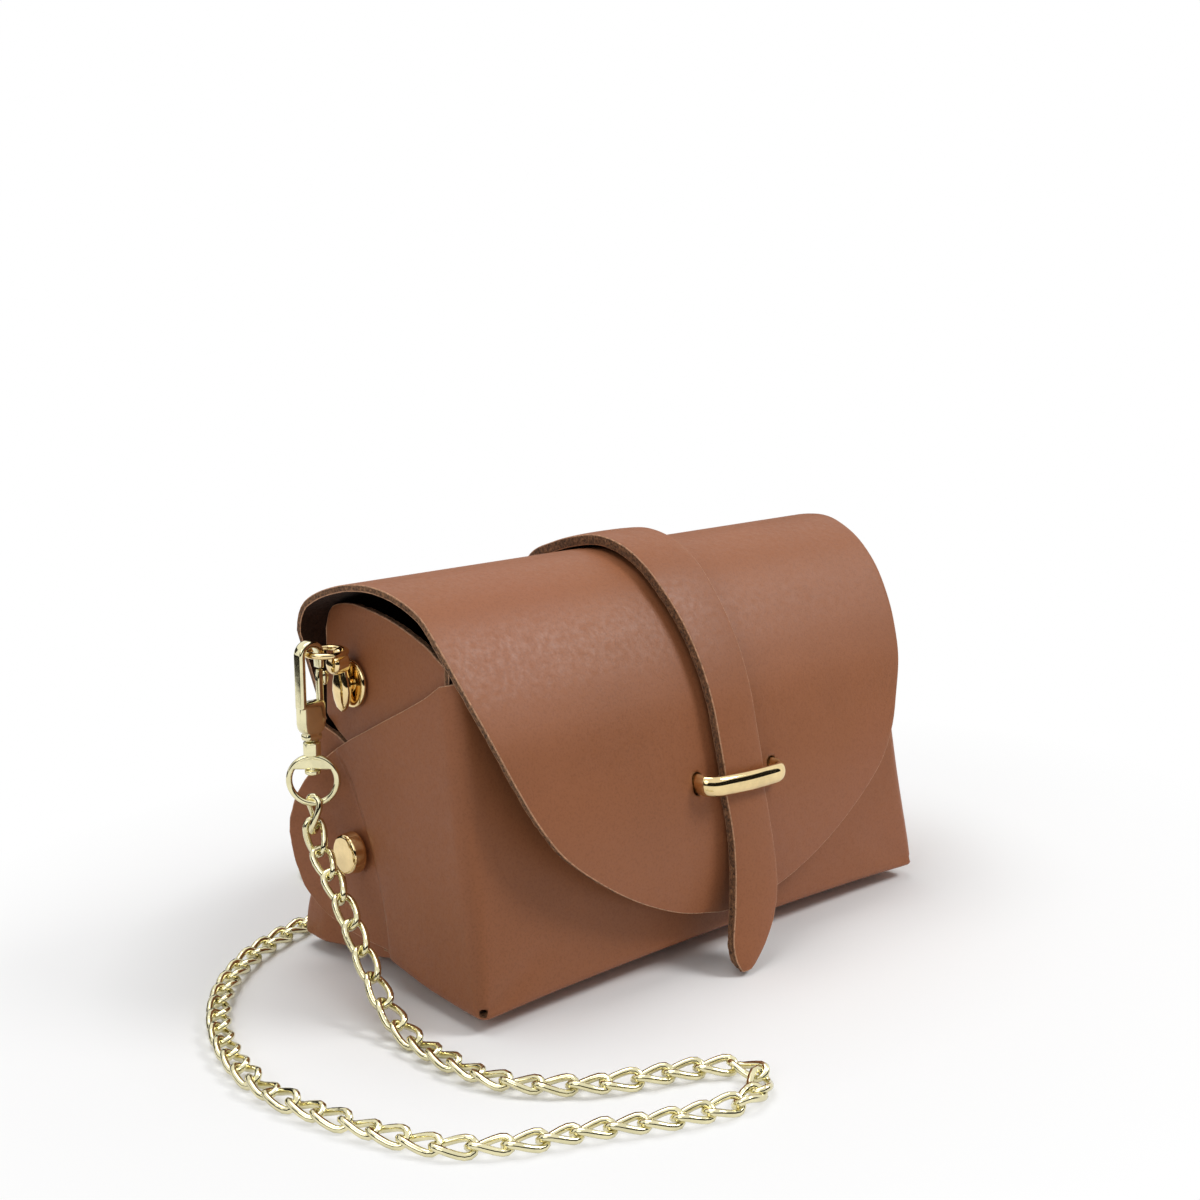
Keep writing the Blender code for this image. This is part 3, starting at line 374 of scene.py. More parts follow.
def stack(table, middle, power, turn=0.0, steps=32):
    """Rounded oblongs laid over each other: (w c^p, d s^p, z) of cosine and sine, turned.

    The table's rows are height over the middle, width and depth. Both ends are closed with a
    ring of no width.
    """
    rows = np.array(table, float)
    rows = np.vstack([rows[:1] * (1, 0, 0), rows, rows[-1:] * (1, 0, 0)])
    angle = np.arange(steps) * 2 * math.pi / steps
    cos, sin = np.cos(angle), np.sin(angle)
    x = rows[:, 1:2] / 2 * np.sign(cos) * np.abs(cos) ** power
    y = rows[:, 2:] / 2 * np.sign(sin) * np.abs(sin) ** power
    points = np.stack([middle[0] + x * math.cos(turn) - y * math.sin(turn),
                       middle[1] + x * math.sin(turn) + y * math.cos(turn),
                       np.broadcast_to(middle[2] + rows[:, :1], x.shape)], axis=-1)
    return points.reshape(-1, 3), grid_faces(len(rows), steps, closed=True)


def rounded(corners, bend, steps=5):
    """A (radius, height) profile whose inner corners are rounded with a small arc."""
    pts = np.array(corners, float)
    line = [pts[:1]]
    for before, here, after in zip(pts[:-2], pts[1:-1], pts[2:]):
        back, on = before - here, after - here
        reach = min(bend, np.linalg.norm(back) * 0.45, np.linalg.norm(on) * 0.45)
        start, end = here + unit(back) * reach, here + unit(on) * reach
        t = np.linspace(0, 1, steps)[:, None]
        line.append((1 - t) ** 2 * start + 2 * t * (1 - t) * here + t ** 2 * end)
    return np.vstack([*line, pts[-1:]])


def joined(*shells):
    """Several closed forms as one set of points and quads."""
    points, faces, count = [], [], 0
    for pts, quads in shells:
        points.append(pts)
        faces.append(quads + count)
        count += len(pts)
    return np.vstack(points), np.vstack(faces)


def make(name, points, faces, coats, index=None):
    """An object from points in millimetres and quads, with poles closed and normals outwards."""
    mesh = bpy.data.meshes.new(name)
    mesh.from_pydata((np.array(points) * MM).tolist(), [], np.array(faces).tolist())
    if index is not None:
        mesh.polygons.foreach_set("material_index", np.array(index, dtype=np.int32))
    mesh.polygons.foreach_set("use_smooth", np.ones(len(mesh.polygons), dtype=bool))
    work = bmesh.new()
    work.from_mesh(mesh)
    bmesh.ops.remove_doubles(work, verts=work.verts, dist=0.000002)
    bmesh.ops.dissolve_degenerate(work, edges=work.edges, dist=0.0000005)
    bmesh.ops.recalc_face_normals(work, faces=work.faces)
    work.to_mesh(mesh)
    work.free()
    made = bpy.data.objects.new(name, mesh)
    bpy.context.scene.collection.objects.link(made)
    for coat in coats:
        mesh.materials.append(coat)
    return made


def hide(name, grid, thick, keep=None):
    """A leather piece of a thickness whose outer face is a grid of points."""
    points, faces = compact(grid.reshape(-1, 3), grid_faces(*grid.shape[:2], keep))
    faces = facing_out(points, faces)
    points, faces, index = shell(points, faces, thick, settings().edge_rounding / MM)
    return make(name, points, faces, hides(), index)


def fit(made, node, body):
    """Let a piece stand for a solid, whose part is hidden, and move with a body."""
    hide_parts(node)
    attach(made, body)


def carve(target, cutters, folded=False):
    """Take cutters out of a piece with an exact Boolean, apply it and remove the cutters.

    `folded` is for a sheet whose inner face overlaps itself in its tight folds.
    """
    for cutter in cutters:
        step = target.modifiers.new("cut", "BOOLEAN")
        step.operation = "DIFFERENCE"
        step.solver = "EXACT"
        step.use_self = folded
        step.object = cutter
    bpy.context.view_layer.update()
    graph = bpy.context.evaluated_depsgraph_get()
    fresh = bpy.data.meshes.new_from_object(target.evaluated_get(graph))
    target.modifiers.clear()
    target.data = fresh
    for cutter in cutters:
        bpy.data.objects.remove(cutter, do_unlink=True)
    if len(fresh.polygons) < LEAST_FACES:
        raise RuntimeError("the cut took the whole of " + target.name)


# The bag's own surfaces, in millimetres

def front_y(z):
    """Outer face of the front wall, which leans back as it rises."""
    return -BASE_DEPTH / 2 + FRONT_LEAN * z / FRONT_HEIGHT


def rear_y(z):
    """Outer face of the rear wall, which leans forward as it rises."""
    return BASE_DEPTH / 2 - REAR_LEAN * z / WALL_HEIGHT


def wing_x(z):
    """Half width over the front wings."""
    return BASE_WIDTH / 2 - SIDE_LEAN * z / WALL_HEIGHT


def ear_x(z):
    """Half width over the rear ears, which lie inside the front wings."""
    return wing_x(z) - settings().leather_thickness / MM - GAP


def bend_radius(z):
    """Radius of the upright folds: tight at the foot, full from 40 mm up."""
    return FOLD_RADIUS_FOOT + (FOLD_RADIUS - FOLD_RADIUS_FOOT) * soft_step(z, 4, 40)


def crease_line(z):
    """Depth of a side's crease at a height: it rises to the rear as a parabola."""
    return CREASE_FOOT + CREASE_SLANT * (z / CREASE_HEIGHT) ** 2


def crease_dent(y, z):
    """How far a side is pressed in along its crease.

    depth * exp(-(past / width)^2), steep before the crease and easing out behind it.
    """
    past = y - crease_line(z)
    wide = np.where(past < 0, CREASE_STEEP, CREASE_EASE)
    return CREASE_DEPTH * np.exp(-(past / wide) ** 2) * soft_step(z, 76, 60)


def wing_face(y, z):
    """Half width of a wing: flat, pressed in along its crease, then flaring out as a tab.

    x = wing_x(z) - dent + flare(z) * share^1.3, where share rises from the flat part to the
    tab's edge, along (d + sqrt(d^2 + 4)) / 2 of the distance d past its start.
    """
    low, middle, top = TAB_CLEARS
    clear = low + (middle - low) * soft_step(z, 42, 54) + (top - middle) * soft_step(z, 54, 64)
    start = crease_line(z) + clear
    span = np.maximum(np.interp(z, *np.array(TAB_EDGES).T) - start, 4.0)
    past = y - start
    share = 0.5 * (past + np.sqrt(past ** 2 + 4.0)) / span
    flare = np.interp(z, *np.array(TAB_FLARES).T) * share ** 1.3
    return wing_x(z) - crease_dent(y, z) + np.minimum(flare, FLARE_LIMIT)


def flap_line(shares):
    """Outer line of the flap with its half width, from the rear fold to the tip.

    It starts on the rear wall's upper edge, and two more points close its tip nearly level.
    """
    line = smooth_line(np.array(FLAP_LINE) * FLAP_SCALE, 400)
    start = np.array([(rear_y(WALL_HEIGHT), WALL_HEIGHT, FLAP_HALF_WIDTH)])
    end = np.array([(line[-1, 0] + 0.02, 14.75, 5.0), (line[-1, 0] + 0.03, 14.62, 1.6)])
    return reread(np.vstack([start, line, end]), shares)


def outward(line):
    """Unit normals of a (y, z) line that runs from the rear over the top to the front."""
    along = unit(np.gradient(line[:, :2], axis=0))
    return np.stack([along[:, 1], -along[:, 0]], axis=1)


def strap_line(count):
    """Inner face of the strap from behind the rear wall over the flap to the tongue's tip.

    Over the flap it is the flap's line moved out along its normal by the gap and the arch.
    """
    profile = smooth_line(np.array(FLAP_LINE) * FLAP_SCALE, 60)
    lift = outward(profile)
    share = np.linspace(0, 1, len(profile))
    arch = np.interp(share, *np.array(STRAP_ARCHES).T)
    held = (profile[:, 1] > LOOP_HEIGHT) | (profile[:, 0] > 0)
    over = (profile[:, :2] + lift * (GAP + arch)[:, None])[held][::3]
    root = np.interp(LOOP_HEIGHT, profile[::-1, 1], profile[::-1, 0]) - GAP
    tongue = [(root, LOOP_HEIGHT)] + [(root - TONGUE_REACH * a, LOOP_HEIGHT * b)
                                      for a, b in TONGUE]
    tongue.append((root - TONGUE_REACH, TONGUE_END))
    low = [(rear_y(z) + GAP, z) for z in (STRAP_FOOT, 70.0, 81.0, 91.6)]
    return smooth_line(np.vstack([low, over, tongue]), count)


def loop_place(x):
    """Where a point of the loop at x from its middle stands: shifted, and tilted a little."""
    return x + 1.1, LOOP_HEIGHT - 0.04 * x


def front_grid(rows=44, wing=110, bend=9, flat=40, lip=6):
    """Front wall with both wings, turned under along the bottom.

    Columns run from the left tab round the front to the right tab; rows run down from the
    upper edge, and the last ones turn under: in by r (1 - cos a) and down by r sin a. A
    shallow valley exp(-(aside / width)^2) rises from each corner, and the middle bellies out.
    """
    spread = soft_step(np.linspace(0, 1, wing), -0.6, 1.2)
    spread = (spread - spread[0]) / (spread[-1] - spread[0])
    low = reread(smooth_line(WING_LOW, 300), spread)
    high = reread(smooth_line(WING_HIGH, 300), spread)
    hem = HEM + HEM_WIDER * soft_step(low[:, 0], -40, -22)
    turn = np.linspace(0, math.pi / 2, lip)[1:, None]
    rise = np.linspace(1, 0, rows)[:, None]
    z_low = low[:, 1] + hem
    y = low[:, 0] + rise * (high[:, 0] - low[:, 0])
    z = z_low + rise * (high[:, 1] - z_low)
    y += (front_y(z[:, :1]) + bend_radius(z[:, :1]) - y[:, :1]) * soft_step(spread, 0.25, 0)
    x = wing_face(y, z)
    in_x = np.vstack([hem * (1 - np.cos(turn)), hem + HEM_FLAT])
    under_z = np.vstack([z[-1] - hem * np.sin(turn), z[-1] - hem])
    tight = np.maximum(bend_radius(under_z[:, :1]), in_x[:, :1] + LEAST_FOLD)
    start = front_y(under_z[:, :1]) + tight
    under_y = y[-1] + soft_step(spread, 0.25, 0) * (start - y[-1, 0])
    side = np.stack([np.vstack([x, x[-1] - in_x]), np.vstack([y, under_y]),
                     np.vstack([z, under_z])], axis=-1)
    side[..., 0] *= -1
    side = side[:, ::-1]
    # front half, from the fold to the middle
    angle = np.linspace(0, math.pi / 2, bend)[1:]
    share = np.linspace(1, 0, flat)[1:]
    base = WING_LOW[0][1]
    turned = np.concatenate([np.cos(angle), np.zeros(flat - 1)])
    level = np.concatenate([np.sin(angle), np.ones(flat - 1)])
    across = np.concatenate([np.ones(bend - 1), share])
    top = high[0, 1] + (FRONT_HEIGHT * 0.995 - high[0, 1]) * level
    hem = HEM + HEM_WIDER * soft_step(across, 1.0, 0.75)
    z_edge = base + EDGE_BOW * (1 - across ** 2) + hem
    z = z_edge + rise * (top - z_edge)

    def wall(z, inset):
        """Front wall's face at heights z, set in by an inset."""
        fold = np.maximum(bend_radius(z), inset + LEAST_FOLD)
        x = -(wing_x(z) - fold) * across - (fold - inset) * turned
        y = front_y(z) + fold - (fold - inset) * level
        return np.stack([x, y, z], axis=-1)

    body = wall(z, 0.0)
    belly = np.sin(np.pi * (z - z_edge) / (top - z_edge)) * np.sin(np.pi * across) ** 2
    from_x, from_z = body[..., 0] + BASE_WIDTH / 2, z - EDGE_LIFT
    along, aside = from_x * 0.87 + from_z * 0.5, from_z * 0.87 - from_x * 0.5
    pucker = PUCKER_DEPTH * np.exp(-(aside / PUCKER_WIDTH) ** 2)
    pucker *= soft_step(along, 0, 7) * soft_step(along, 34, 16)
    body[..., 1] += pucker - BELLY * belly
    hems = [wall(z[-1] - hem * math.sin(a), hem * (1 - math.cos(a))) for a in turn[:, 0]]
    hems.append(wall(z[-1] - hem, hem + HEM_FLAT))
    front = np.concatenate([body, np.array(hems)])
    half = np.concatenate([side, front], axis=1)
    grid = np.concatenate([half, half[:, -2::-1] * (-1, 1, 1)], axis=1)
    keep = np.ones((grid.shape[0] - 1, grid.shape[1] - 1), dtype=bool)
    free = int(np.sum(side[-1, :, 1] > 3.0))
    keep[rows - 1:, :free] = False
    keep[rows - 1:, -free:] = False
    return grid, keep


def rear_grid(below=40, above=26, flat=24, bend=9, ear=60, lip=5):
    """Rear wall with both ears, cut apart above the slit's foot.

    Rows rise, the first ones turned under at the bottom; columns run from the left ear's
    front end round the rear wall to the right one: across it, round the upright fold by
    r sin a and r cos a, and along the ear from its lower to its upper edge. The fold bulges
    out at its foot and under the ear, where the leather is free.
    """
    turn_in = np.linspace(math.pi / 2, 0, lip + 1)[:-1, None]
    inset = np.vstack([REAR_HEM * (1 - np.cos(turn_in)), np.zeros((below, 1))])
    t_low = np.linspace(0, 1, below)[:, None]
    t_high = np.linspace(0, 1, above)[1:, None]
    share = np.linspace(0, 1, flat)
    start = EDGE_LIFT + REAR_HEM
    z = start + t_low * (SLIT_HEIGHT - start)
    z = np.vstack([start - REAR_HEM * np.sin(turn_in), z])
    z_up = SLIT_HEIGHT + t_high * (WALL_HEIGHT - SLIT_HEIGHT)
    fold = np.maximum(bend_radius(z), inset + LEAST_FOLD)
    bulge = BULGE_FOOT * soft_step(z, 28, 9) + BULGE_EAR * soft_step(z, 44, 64)
    root = ear_x(SLIT_HEIGHT) - FOLD_RADIUS + BULGE_EAR
    wide = root + t_high * (FLAP_HALF_WIDTH - root)
    x = np.vstack([share * (ear_x(z) - fold) + share ** 4 * bulge, share * wide])
    heights = np.vstack([z, z_up])
    y = rear_y(heights) - np.vstack([inset, np.zeros((above - 1, 1))])
    wall = np.stack([x, np.broadcast_to(y, x.shape), np.broadcast_to(heights, x.shape)], axis=-1)
    turn = np.linspace(0, math.pi / 2, bend + 1)[1:]
    round_x = ear_x(z) - fold + (fold - inset) * np.sin(turn) + bulge
    curve = np.stack([round_x, rear_y(z) - fold + (fold - inset) * np.cos(turn),
                      np.broadcast_to(z, round_x.shape)], axis=-1)
    curve = np.concatenate([curve, np.repeat(curve[-1:], above - 1, axis=0)])
    spread = np.linspace(0, 1, ear) ** 1.25
    low = reread(smooth_line(EAR_LOW, 300), spread)
    high = reread(smooth_line(EAR_HIGH, 300), spread)
    z_mid = np.clip(SLIT_HEIGHT - 3.5 + 0.42 * (low[:, 0] - 22), low[:, 1] + 2, high[:, 1] - 2)
    z_ear = np.vstack([np.repeat(low[None, :, 1], lip, axis=0) + (z[:lip] - z[lip]),
                       low[:, 1] + t_low * (z_mid - low[:, 1]),
                       z_mid + 0.6 + t_high * (high[:, 1] - z_mid - 0.6)])
    slope = (z_ear - low[:, 1]) / (high[:, 1] - low[:, 1])
    y = low[:, 0] + np.clip(slope, 0, 1) * (high[:, 0] - low[:, 0])
    bow = EAR_BOW * np.sin(np.pi * spread) * soft_step(z_ear, 60, 100)
    out = np.vstack([bulge * soft_step(y[:lip + below], 24, 33.4), np.zeros((above - 1, ear))])
    x = ear_x(z_ear) - bow - crease_dent(y, z_ear) * soft_step(y, 34, 30) + out
    x[:lip] -= inset[:lip]
    side = np.stack([x, np.maximum(y, front_y(z_ear) + FOLD_RADIUS), z_ear], axis=-1)
    half = np.concatenate([wall, curve, side], axis=1)
    grid = np.concatenate([half[:, :0:-1] * (-1, 1, 1), half], axis=1)
    keep = np.ones((grid.shape[0] - 1, grid.shape[1] - 1), dtype=bool)
    centre = half.shape[1] - 1
    first, last = centre + flat - 1, centre + flat - 1 + bend
    foot = lip + below - 1
    keep[foot:, first:last + 1] = False
    keep[foot:, 2 * centre - last - 1:2 * centre - first] = False
    cut = int(np.sum(low[:, 0] > 16))
    keep[foot, last + 1:last + cut] = False
    keep[foot, 2 * centre - last - cut:2 * centre - last] = False
    return grid, keep


def bottom_grid(count=48):
    """Bottom panel: z = play + rim * s^1.2, where s runs from the flat foot to each edge.

    The rim bows up by a (1 - u^2) at front and rear, and by b exp(-((y - 3) / 16)^2) at the
    sides, as the walls' lower edges do.
    """
    half_x, half_y = ear_x(0) - BOTTOM_IN[0], BASE_DEPTH / 2 - BOTTOM_IN[1]
    u, v = np.meshgrid(np.linspace(-1, 1, count), np.linspace(-1, 1, count), indexing="xy")
    x, y = u * half_x, v * half_y
    past_x = np.clip((np.abs(x) - FOOT_WIDTH / 2) / (half_x - FOOT_WIDTH / 2), 0, 1)
    past_y = np.clip((np.abs(y) - FOOT_DEPTH / 2) / (half_y - FOOT_DEPTH / 2), 0, 1)
    s = np.maximum(past_x, past_y)
    rim = (EDGE_LIFT + RIM_LIFT + EDGE_BOW * (1 - u ** 2) * past_y
           + SIDE_BOW * np.exp(-((y - 3) / 16) ** 2) * past_x)
    z = FLOOR_PLAY + rim * s ** 1.2
    return np.stack([x, y, z], axis=-1)


def flap_grid(rows=150, cols=97):
    """Flap: P(s, t) = (s w(t), y(t), z(t)), s from -1 to 1, with rows closer at the tip."""
    t = 1 - (1 - np.linspace(0, 1, rows)) ** 1.8
    line = flap_line(t)
    s = np.linspace(-1, 1, cols)
    x = s * line[:, 2:3]
    y = np.broadcast_to(line[:, 0:1], x.shape)
    z = np.broadcast_to(line[:, 1:2], x.shape)
    return np.stack([x, y, z], axis=-1)


def chain_path():
    """Middle line of the links, in millimetres: the route, set lower by the flat links' rest."""
    line = smooth_line(np.array(CHAIN_ROUTE) / MM, 1600)
    low = CHAIN_ROUTE[8][2] / MM
    rise = (CHAIN_END - CHAIN_REST) / (CHAIN_END - low)
    line[:, 2] = np.maximum(CHAIN_REST + (line[:, 2] - low) * rise, CHAIN_REST)
    return line


def link_curve(length, width, wire, steps, twist):
    """Middle line of a twisted curb link.

    x = a cos^0.92 t along the chain, y = b sin^0.85 t across it, z = h sin 2t out of its plane.
    """
    t = np.arange(steps) * 2 * math.pi / steps
    a, b = (length - wire) / 2, (width - wire) / 2
    cos, sin = np.cos(t), np.sin(t)
    return np.stack([a * np.sign(cos) * np.abs(cos) ** 0.92,
                     b * np.sign(sin) * np.abs(sin) ** 0.85, twist * np.sin(2 * t)], axis=1)


def links(centres, along, face, rolls, steps=18, sides=7):
    """Curb links at given centres. Each is the same swept loop, set into its own frame.

    `along` is the chain's direction, `face` its flat side's normal, `rolls` a small turn.
    """
    kit = settings()
    size = (kit.link_length / MM, kit.link_width / MM, kit.link_wire / MM)
    curve = link_curve(*size, steps, LINK_TWIST)
    one, faces = sweep(curve, round_section(size[2], size[2], sides), (0, 0, 1), closed=True)
    along = unit(along)
    across = unit(np.cross(face, along))
    up = np.cross(along, across)
    cos, sin = np.cos(rolls)[:, None], np.sin(rolls)[:, None]
    across, up = across * cos + up * sin, up * cos - across * sin
    axes = np.stack([along, across, up], axis=1)
    points = centres[:, None] + np.einsum("pk,nkc->npc", one, axes)
    shift = (np.arange(len(centres)) * len(one))[:, None, None]
    return points.reshape(-1, 3), (faces[None] + shift).reshape(-1, 4)


# Materials

def toned(base, share):
    """A colour made darker or lighter by a share."""
    return tuple(min(v * share, 1) for v in base)


class Finish:
    """A material in the making: a Principled shader, and nodes added to it one by one.

    Patterns lie on the piece's own coordinates. A method that adds nodes gives their result.
    """

    def __init__(self, name, base, roughness, metallic=0.0):
        """Start with a plain colour, a roughness and a share of metal."""
        self.material = bpy.data.materials.new(name)
        self.material.use_nodes = True
        self.nodes, self.wires = self.material.node_tree.nodes, self.material.node_tree.links
        self.shader = self.nodes["Principled BSDF"]
        self.shader.inputs["Base Color"].default_value = (*base, 1.0)
        self.shader.inputs["Roughness"].default_value = roughness
        self.shader.inputs["Metallic"].default_value = metallic
        self.here = self.nodes.new("ShaderNodeTexCoord").outputs["Object"]

    def drive(self, slot, source):
        """Let a result decide one of the shader's values."""
        self.wires.new(source, self.shader.inputs[slot])

    def noise(self, scale, detail=3.0, rough=0.55, stretch=None):
        """A noise texture, stretched along an axis if asked."""
        made = self.nodes.new("ShaderNodeTexNoise")
        made.inputs["Scale"].default_value = scale
        made.inputs["Detail"].default_value = detail
        made.inputs["Roughness"].default_value = rough
        source = self.here
        if stretch:
            turn = self.nodes.new("ShaderNodeMapping")
            turn.inputs["Scale"].default_value = stretch
            self.wires.new(source, turn.inputs["Vector"])
            source = turn.outputs["Vector"]
        self.wires.new(source, made.inputs["Vector"])
        return made.outputs["Fac"]

    def ramp(self, source, stops):
        """A colour ramp over stops of (place, colour)."""
        made = self.nodes.new("ShaderNodeValToRGB")
        band = made.color_ramp
        for place, colour in stops[1:-1]:
            band.elements.new(place)
        for slot, (place, colour) in zip(band.elements, stops):
            slot.position = place
            slot.color = (*colour, 1.0)
        self.wires.new(source, made.inputs["Fac"])
        return made.outputs["Color"]

    def tones(self, source, base, stops):
        """A ramp over a colour's tones, from stops of (place, share)."""
        return self.ramp(source, [(place, toned(base, share)) for place, share in stops])

    def multiply(self, share, first, second):
        """Two colours multiplied to a share."""
        made = self.nodes.new("ShaderNodeMix")
        made.data_type = "RGBA"
        made.blend_type = "MULTIPLY"
        made.inputs[0].default_value = share
        self.wires.new(first, made.inputs[6])
        self.wires.new(second, made.inputs[7])
        return made.outputs[2]

    def remap(self, source, low, high, start, end):
        """Carry a value from the range start to end over to low to high."""
        made = self.nodes.new("ShaderNodeMapRange")
        for slot, value in (("From Min", start), ("From Max", end), ("To Min", low),
                            ("To Max", high)):
            made.inputs[slot].default_value = value
        self.wires.new(source, made.inputs["Value"])
        return made.outputs["Result"]

    def bump(self, *heights):
        """Add heights of (result, distance) to the shader's normal, one after another."""
        last = None
        for source, distance in heights:
            made = self.nodes.new("ShaderNodeBump")
            made.inputs["Distance"].default_value = distance
            made.inputs["Strength"].default_value = 1.0
            self.wires.new(source, made.inputs["Height"])
            if last:
                self.wires.new(last, made.inputs["Normal"])
            last = made.outputs["Normal"]
        self.drive("Normal", last)


def seen_or_mirrored(nodes, wires):
    """1 for rays from the camera and for mirrored or refracted ones, 0 for the others."""
    rays = nodes.new("ShaderNodeLightPath")
    total = rays.outputs["Is Camera Ray"]
    for other in ("Is Glossy Ray", "Is Transmission Ray"):
        add = nodes.new("ShaderNodeMath")
        add.operation = "ADD"
        add.use_clamp = True
        wires.new(total, add.inputs[0])
        wires.new(rays.outputs[other], add.inputs[1])
        total = add.outputs["Value"]
    return total


def leather_face():
    """Smooth tan leather: satin, finely speckled, with slow shifts from brown to mauve."""
    base = tuple(settings().leather_colour[:3])
    coat = Finish("tan leather", base, 0.45)
    slow, speck = coat.noise(14.0, 2.0), coat.noise(1500.0, 2.0, 0.6)
    pore = coat.noise(520.0, 4.0, 0.6)
    mauve = (base[0] * 1.03, base[1] * 1.02, base[2] * 1.14)
    tone = coat.ramp(slow, [(0.30, toned(base, 0.90)), (0.52, base), (0.74, mauve)])
    fleck = coat.ramp(speck, [(0.36, (0.80, 0.78, 0.76)), (0.5, (1, 1, 1)),
                             (0.70, (1.06, 1.05, 1.04))])
    coat.drive("Base Color", coat.multiply(0.55, tone, fleck))
    coat.drive("Roughness", coat.remap(pore, 0.40, 0.56, 0.3, 0.7))
    coat.shader.inputs["Specular IOR Level"].default_value = 0.36
    coat.bump((pore, 0.00006), (speck, 0.00003))
    return coat.material


def raw_edge():
    """Cut edge of the leather: packed fibres, tan with dark brown specks, quite matt."""
    base = tuple(settings().edge_colour[:3])
    coat = Finish("raw edge", base, 0.85)
    fibre, clump = coat.noise(1150.0, 5.0, 0.72), coat.noise(330.0, 3.0, 0.6)
    tone = coat.tones(fibre, base, [(0.34, 0.12), (0.46, 0.55), (0.56, 1), (0.72, 1.7)])
    shade = coat.ramp(clump, [(0.35, (0.62, 0.58, 0.55)), (0.6, (1, 1, 1))])
    coat.drive("Base Color", coat.multiply(0.8, tone, shade))
    coat.bump((fibre, 0.0005))
    return coat.material


def painted_rim_highlight():
    """Corner of a cut edge: pale fibres, their pale colour a painted highlight."""
    base = tuple(settings().rim_highlight_colour[:3])
    coat = Finish("painted rim highlight", base, 0.7)
    fibre = coat.noise(900.0, 4.0, 0.7)
    # Pale tones painted on as the edge corners' highlight, broken up by fibre noise
    coat.drive("Base Color", coat.tones(fibre, base, [(0.30, 0.38), (0.45, 0.8), (0.68, 1.3)]))
    coat.bump((fibre, 0.0003))
    return coat.material


def flesh_side():
    """Inner side of the leather: brushed dark brown suede."""
    base = tuple(settings().inside_colour[:3])
    coat = Finish("flesh side", base, 0.95)
    nap, brush = coat.noise(900.0, 4.0, 0.7), coat.noise(60.0, 3.0, 0.6, (1.0, 0.35, 0.35))
    tone = coat.tones(brush, base, [(0.35, 0.8), (0.65, 1.25)])
    speck = coat.ramp(nap, [(0.35, (0.55, 0.52, 0.5)), (0.6, (1, 1, 1))])
    coat.drive("Base Color", coat.multiply(0.8, tone, speck))
    coat.shader.inputs["Sheen Weight"].default_value = 0.05
    coat.shader.inputs["Specular IOR Level"].default_value = 0.06
    coat.bump((nap, 0.0004))
    return coat.material


def polished(name, colour, low, high):
    """Polished plated metal: fine handling marks in its gloss, and a slight waviness."""
    coat = Finish(name, colour, low, 1.0)
    marks, wave = coat.noise(700.0, 5.0, 0.7), coat.noise(210.0, 2.0, 0.5)
    coat.drive("Base Color", coat.tones(wave, colour, [(0.35, 0.86), (0.62, 1)]))
    coat.drive("Roughness", coat.remap(marks, low, high, 0.35, 0.65))
    coat.bump((wave, 0.00002))
    return coat.material


FINISHES = {}


def finishes():
    """The leather's four finishes and the metals, made once."""
    if not FINISHES:
        kit = settings()
        FINISHES.update(
            # rim: the pale highlight painted on the cut edges' rounded corners
            leather=leather_face(), edge=raw_edge(), inside=flesh_side(), rim=painted_rim_highlight(),
            warm=polished("warm gold", tuple(kit.warm_gold[:3]), 0.05, 0.12),
            pale=polished("pale gold", tuple(kit.pale_gold[:3]), 0.08, 0.16),
            steel=polished("spring steel", srgb(190, 190, 188), 0.2, 0.35))
    return FINISHES


def hides():
    """Finish list of a leather piece: face, cut edge, inside, painted highlight on the edges'
    corners.
    """
    kit = finishes()
    return [kit["leather"], kit["edge"], kit["inside"], kit["rim"]]


# Operators

class PieceOperator:
    """Base of the operators: it runs in object mode and can be undone."""

    bl_options = {"REGISTER", "UNDO"}


class HANDBAG_OT_camera(PieceOperator, bpy.types.Operator):
    """Place the camera where the bag is looked at from its left front corner"""

    bl_idname = "handbag.camera"
    bl_label = "Camera"

    def execute(self, context):
        """Make the camera."""
        data = bpy.data.cameras.new("camera")
        data.sensor_width = 36
        data.lens = settings().lens
        data.clip_start = 0.01
        camera = bpy.data.objects.new("camera", data)
        context.scene.collection.objects.link(camera)
        level = math.cos(CAMERA_TILT)
        look = Vector((math.sin(CAMERA_TURN) * level, math.cos(CAMERA_TURN) * level,
                       -math.sin(CAMERA_TILT)))
        camera.location = CAMERA_PLACE
        camera.rotation_euler = look.to_track_quat("-Z", "Y").to_euler()
        context.scene.camera = camera
        return {"FINISHED"}


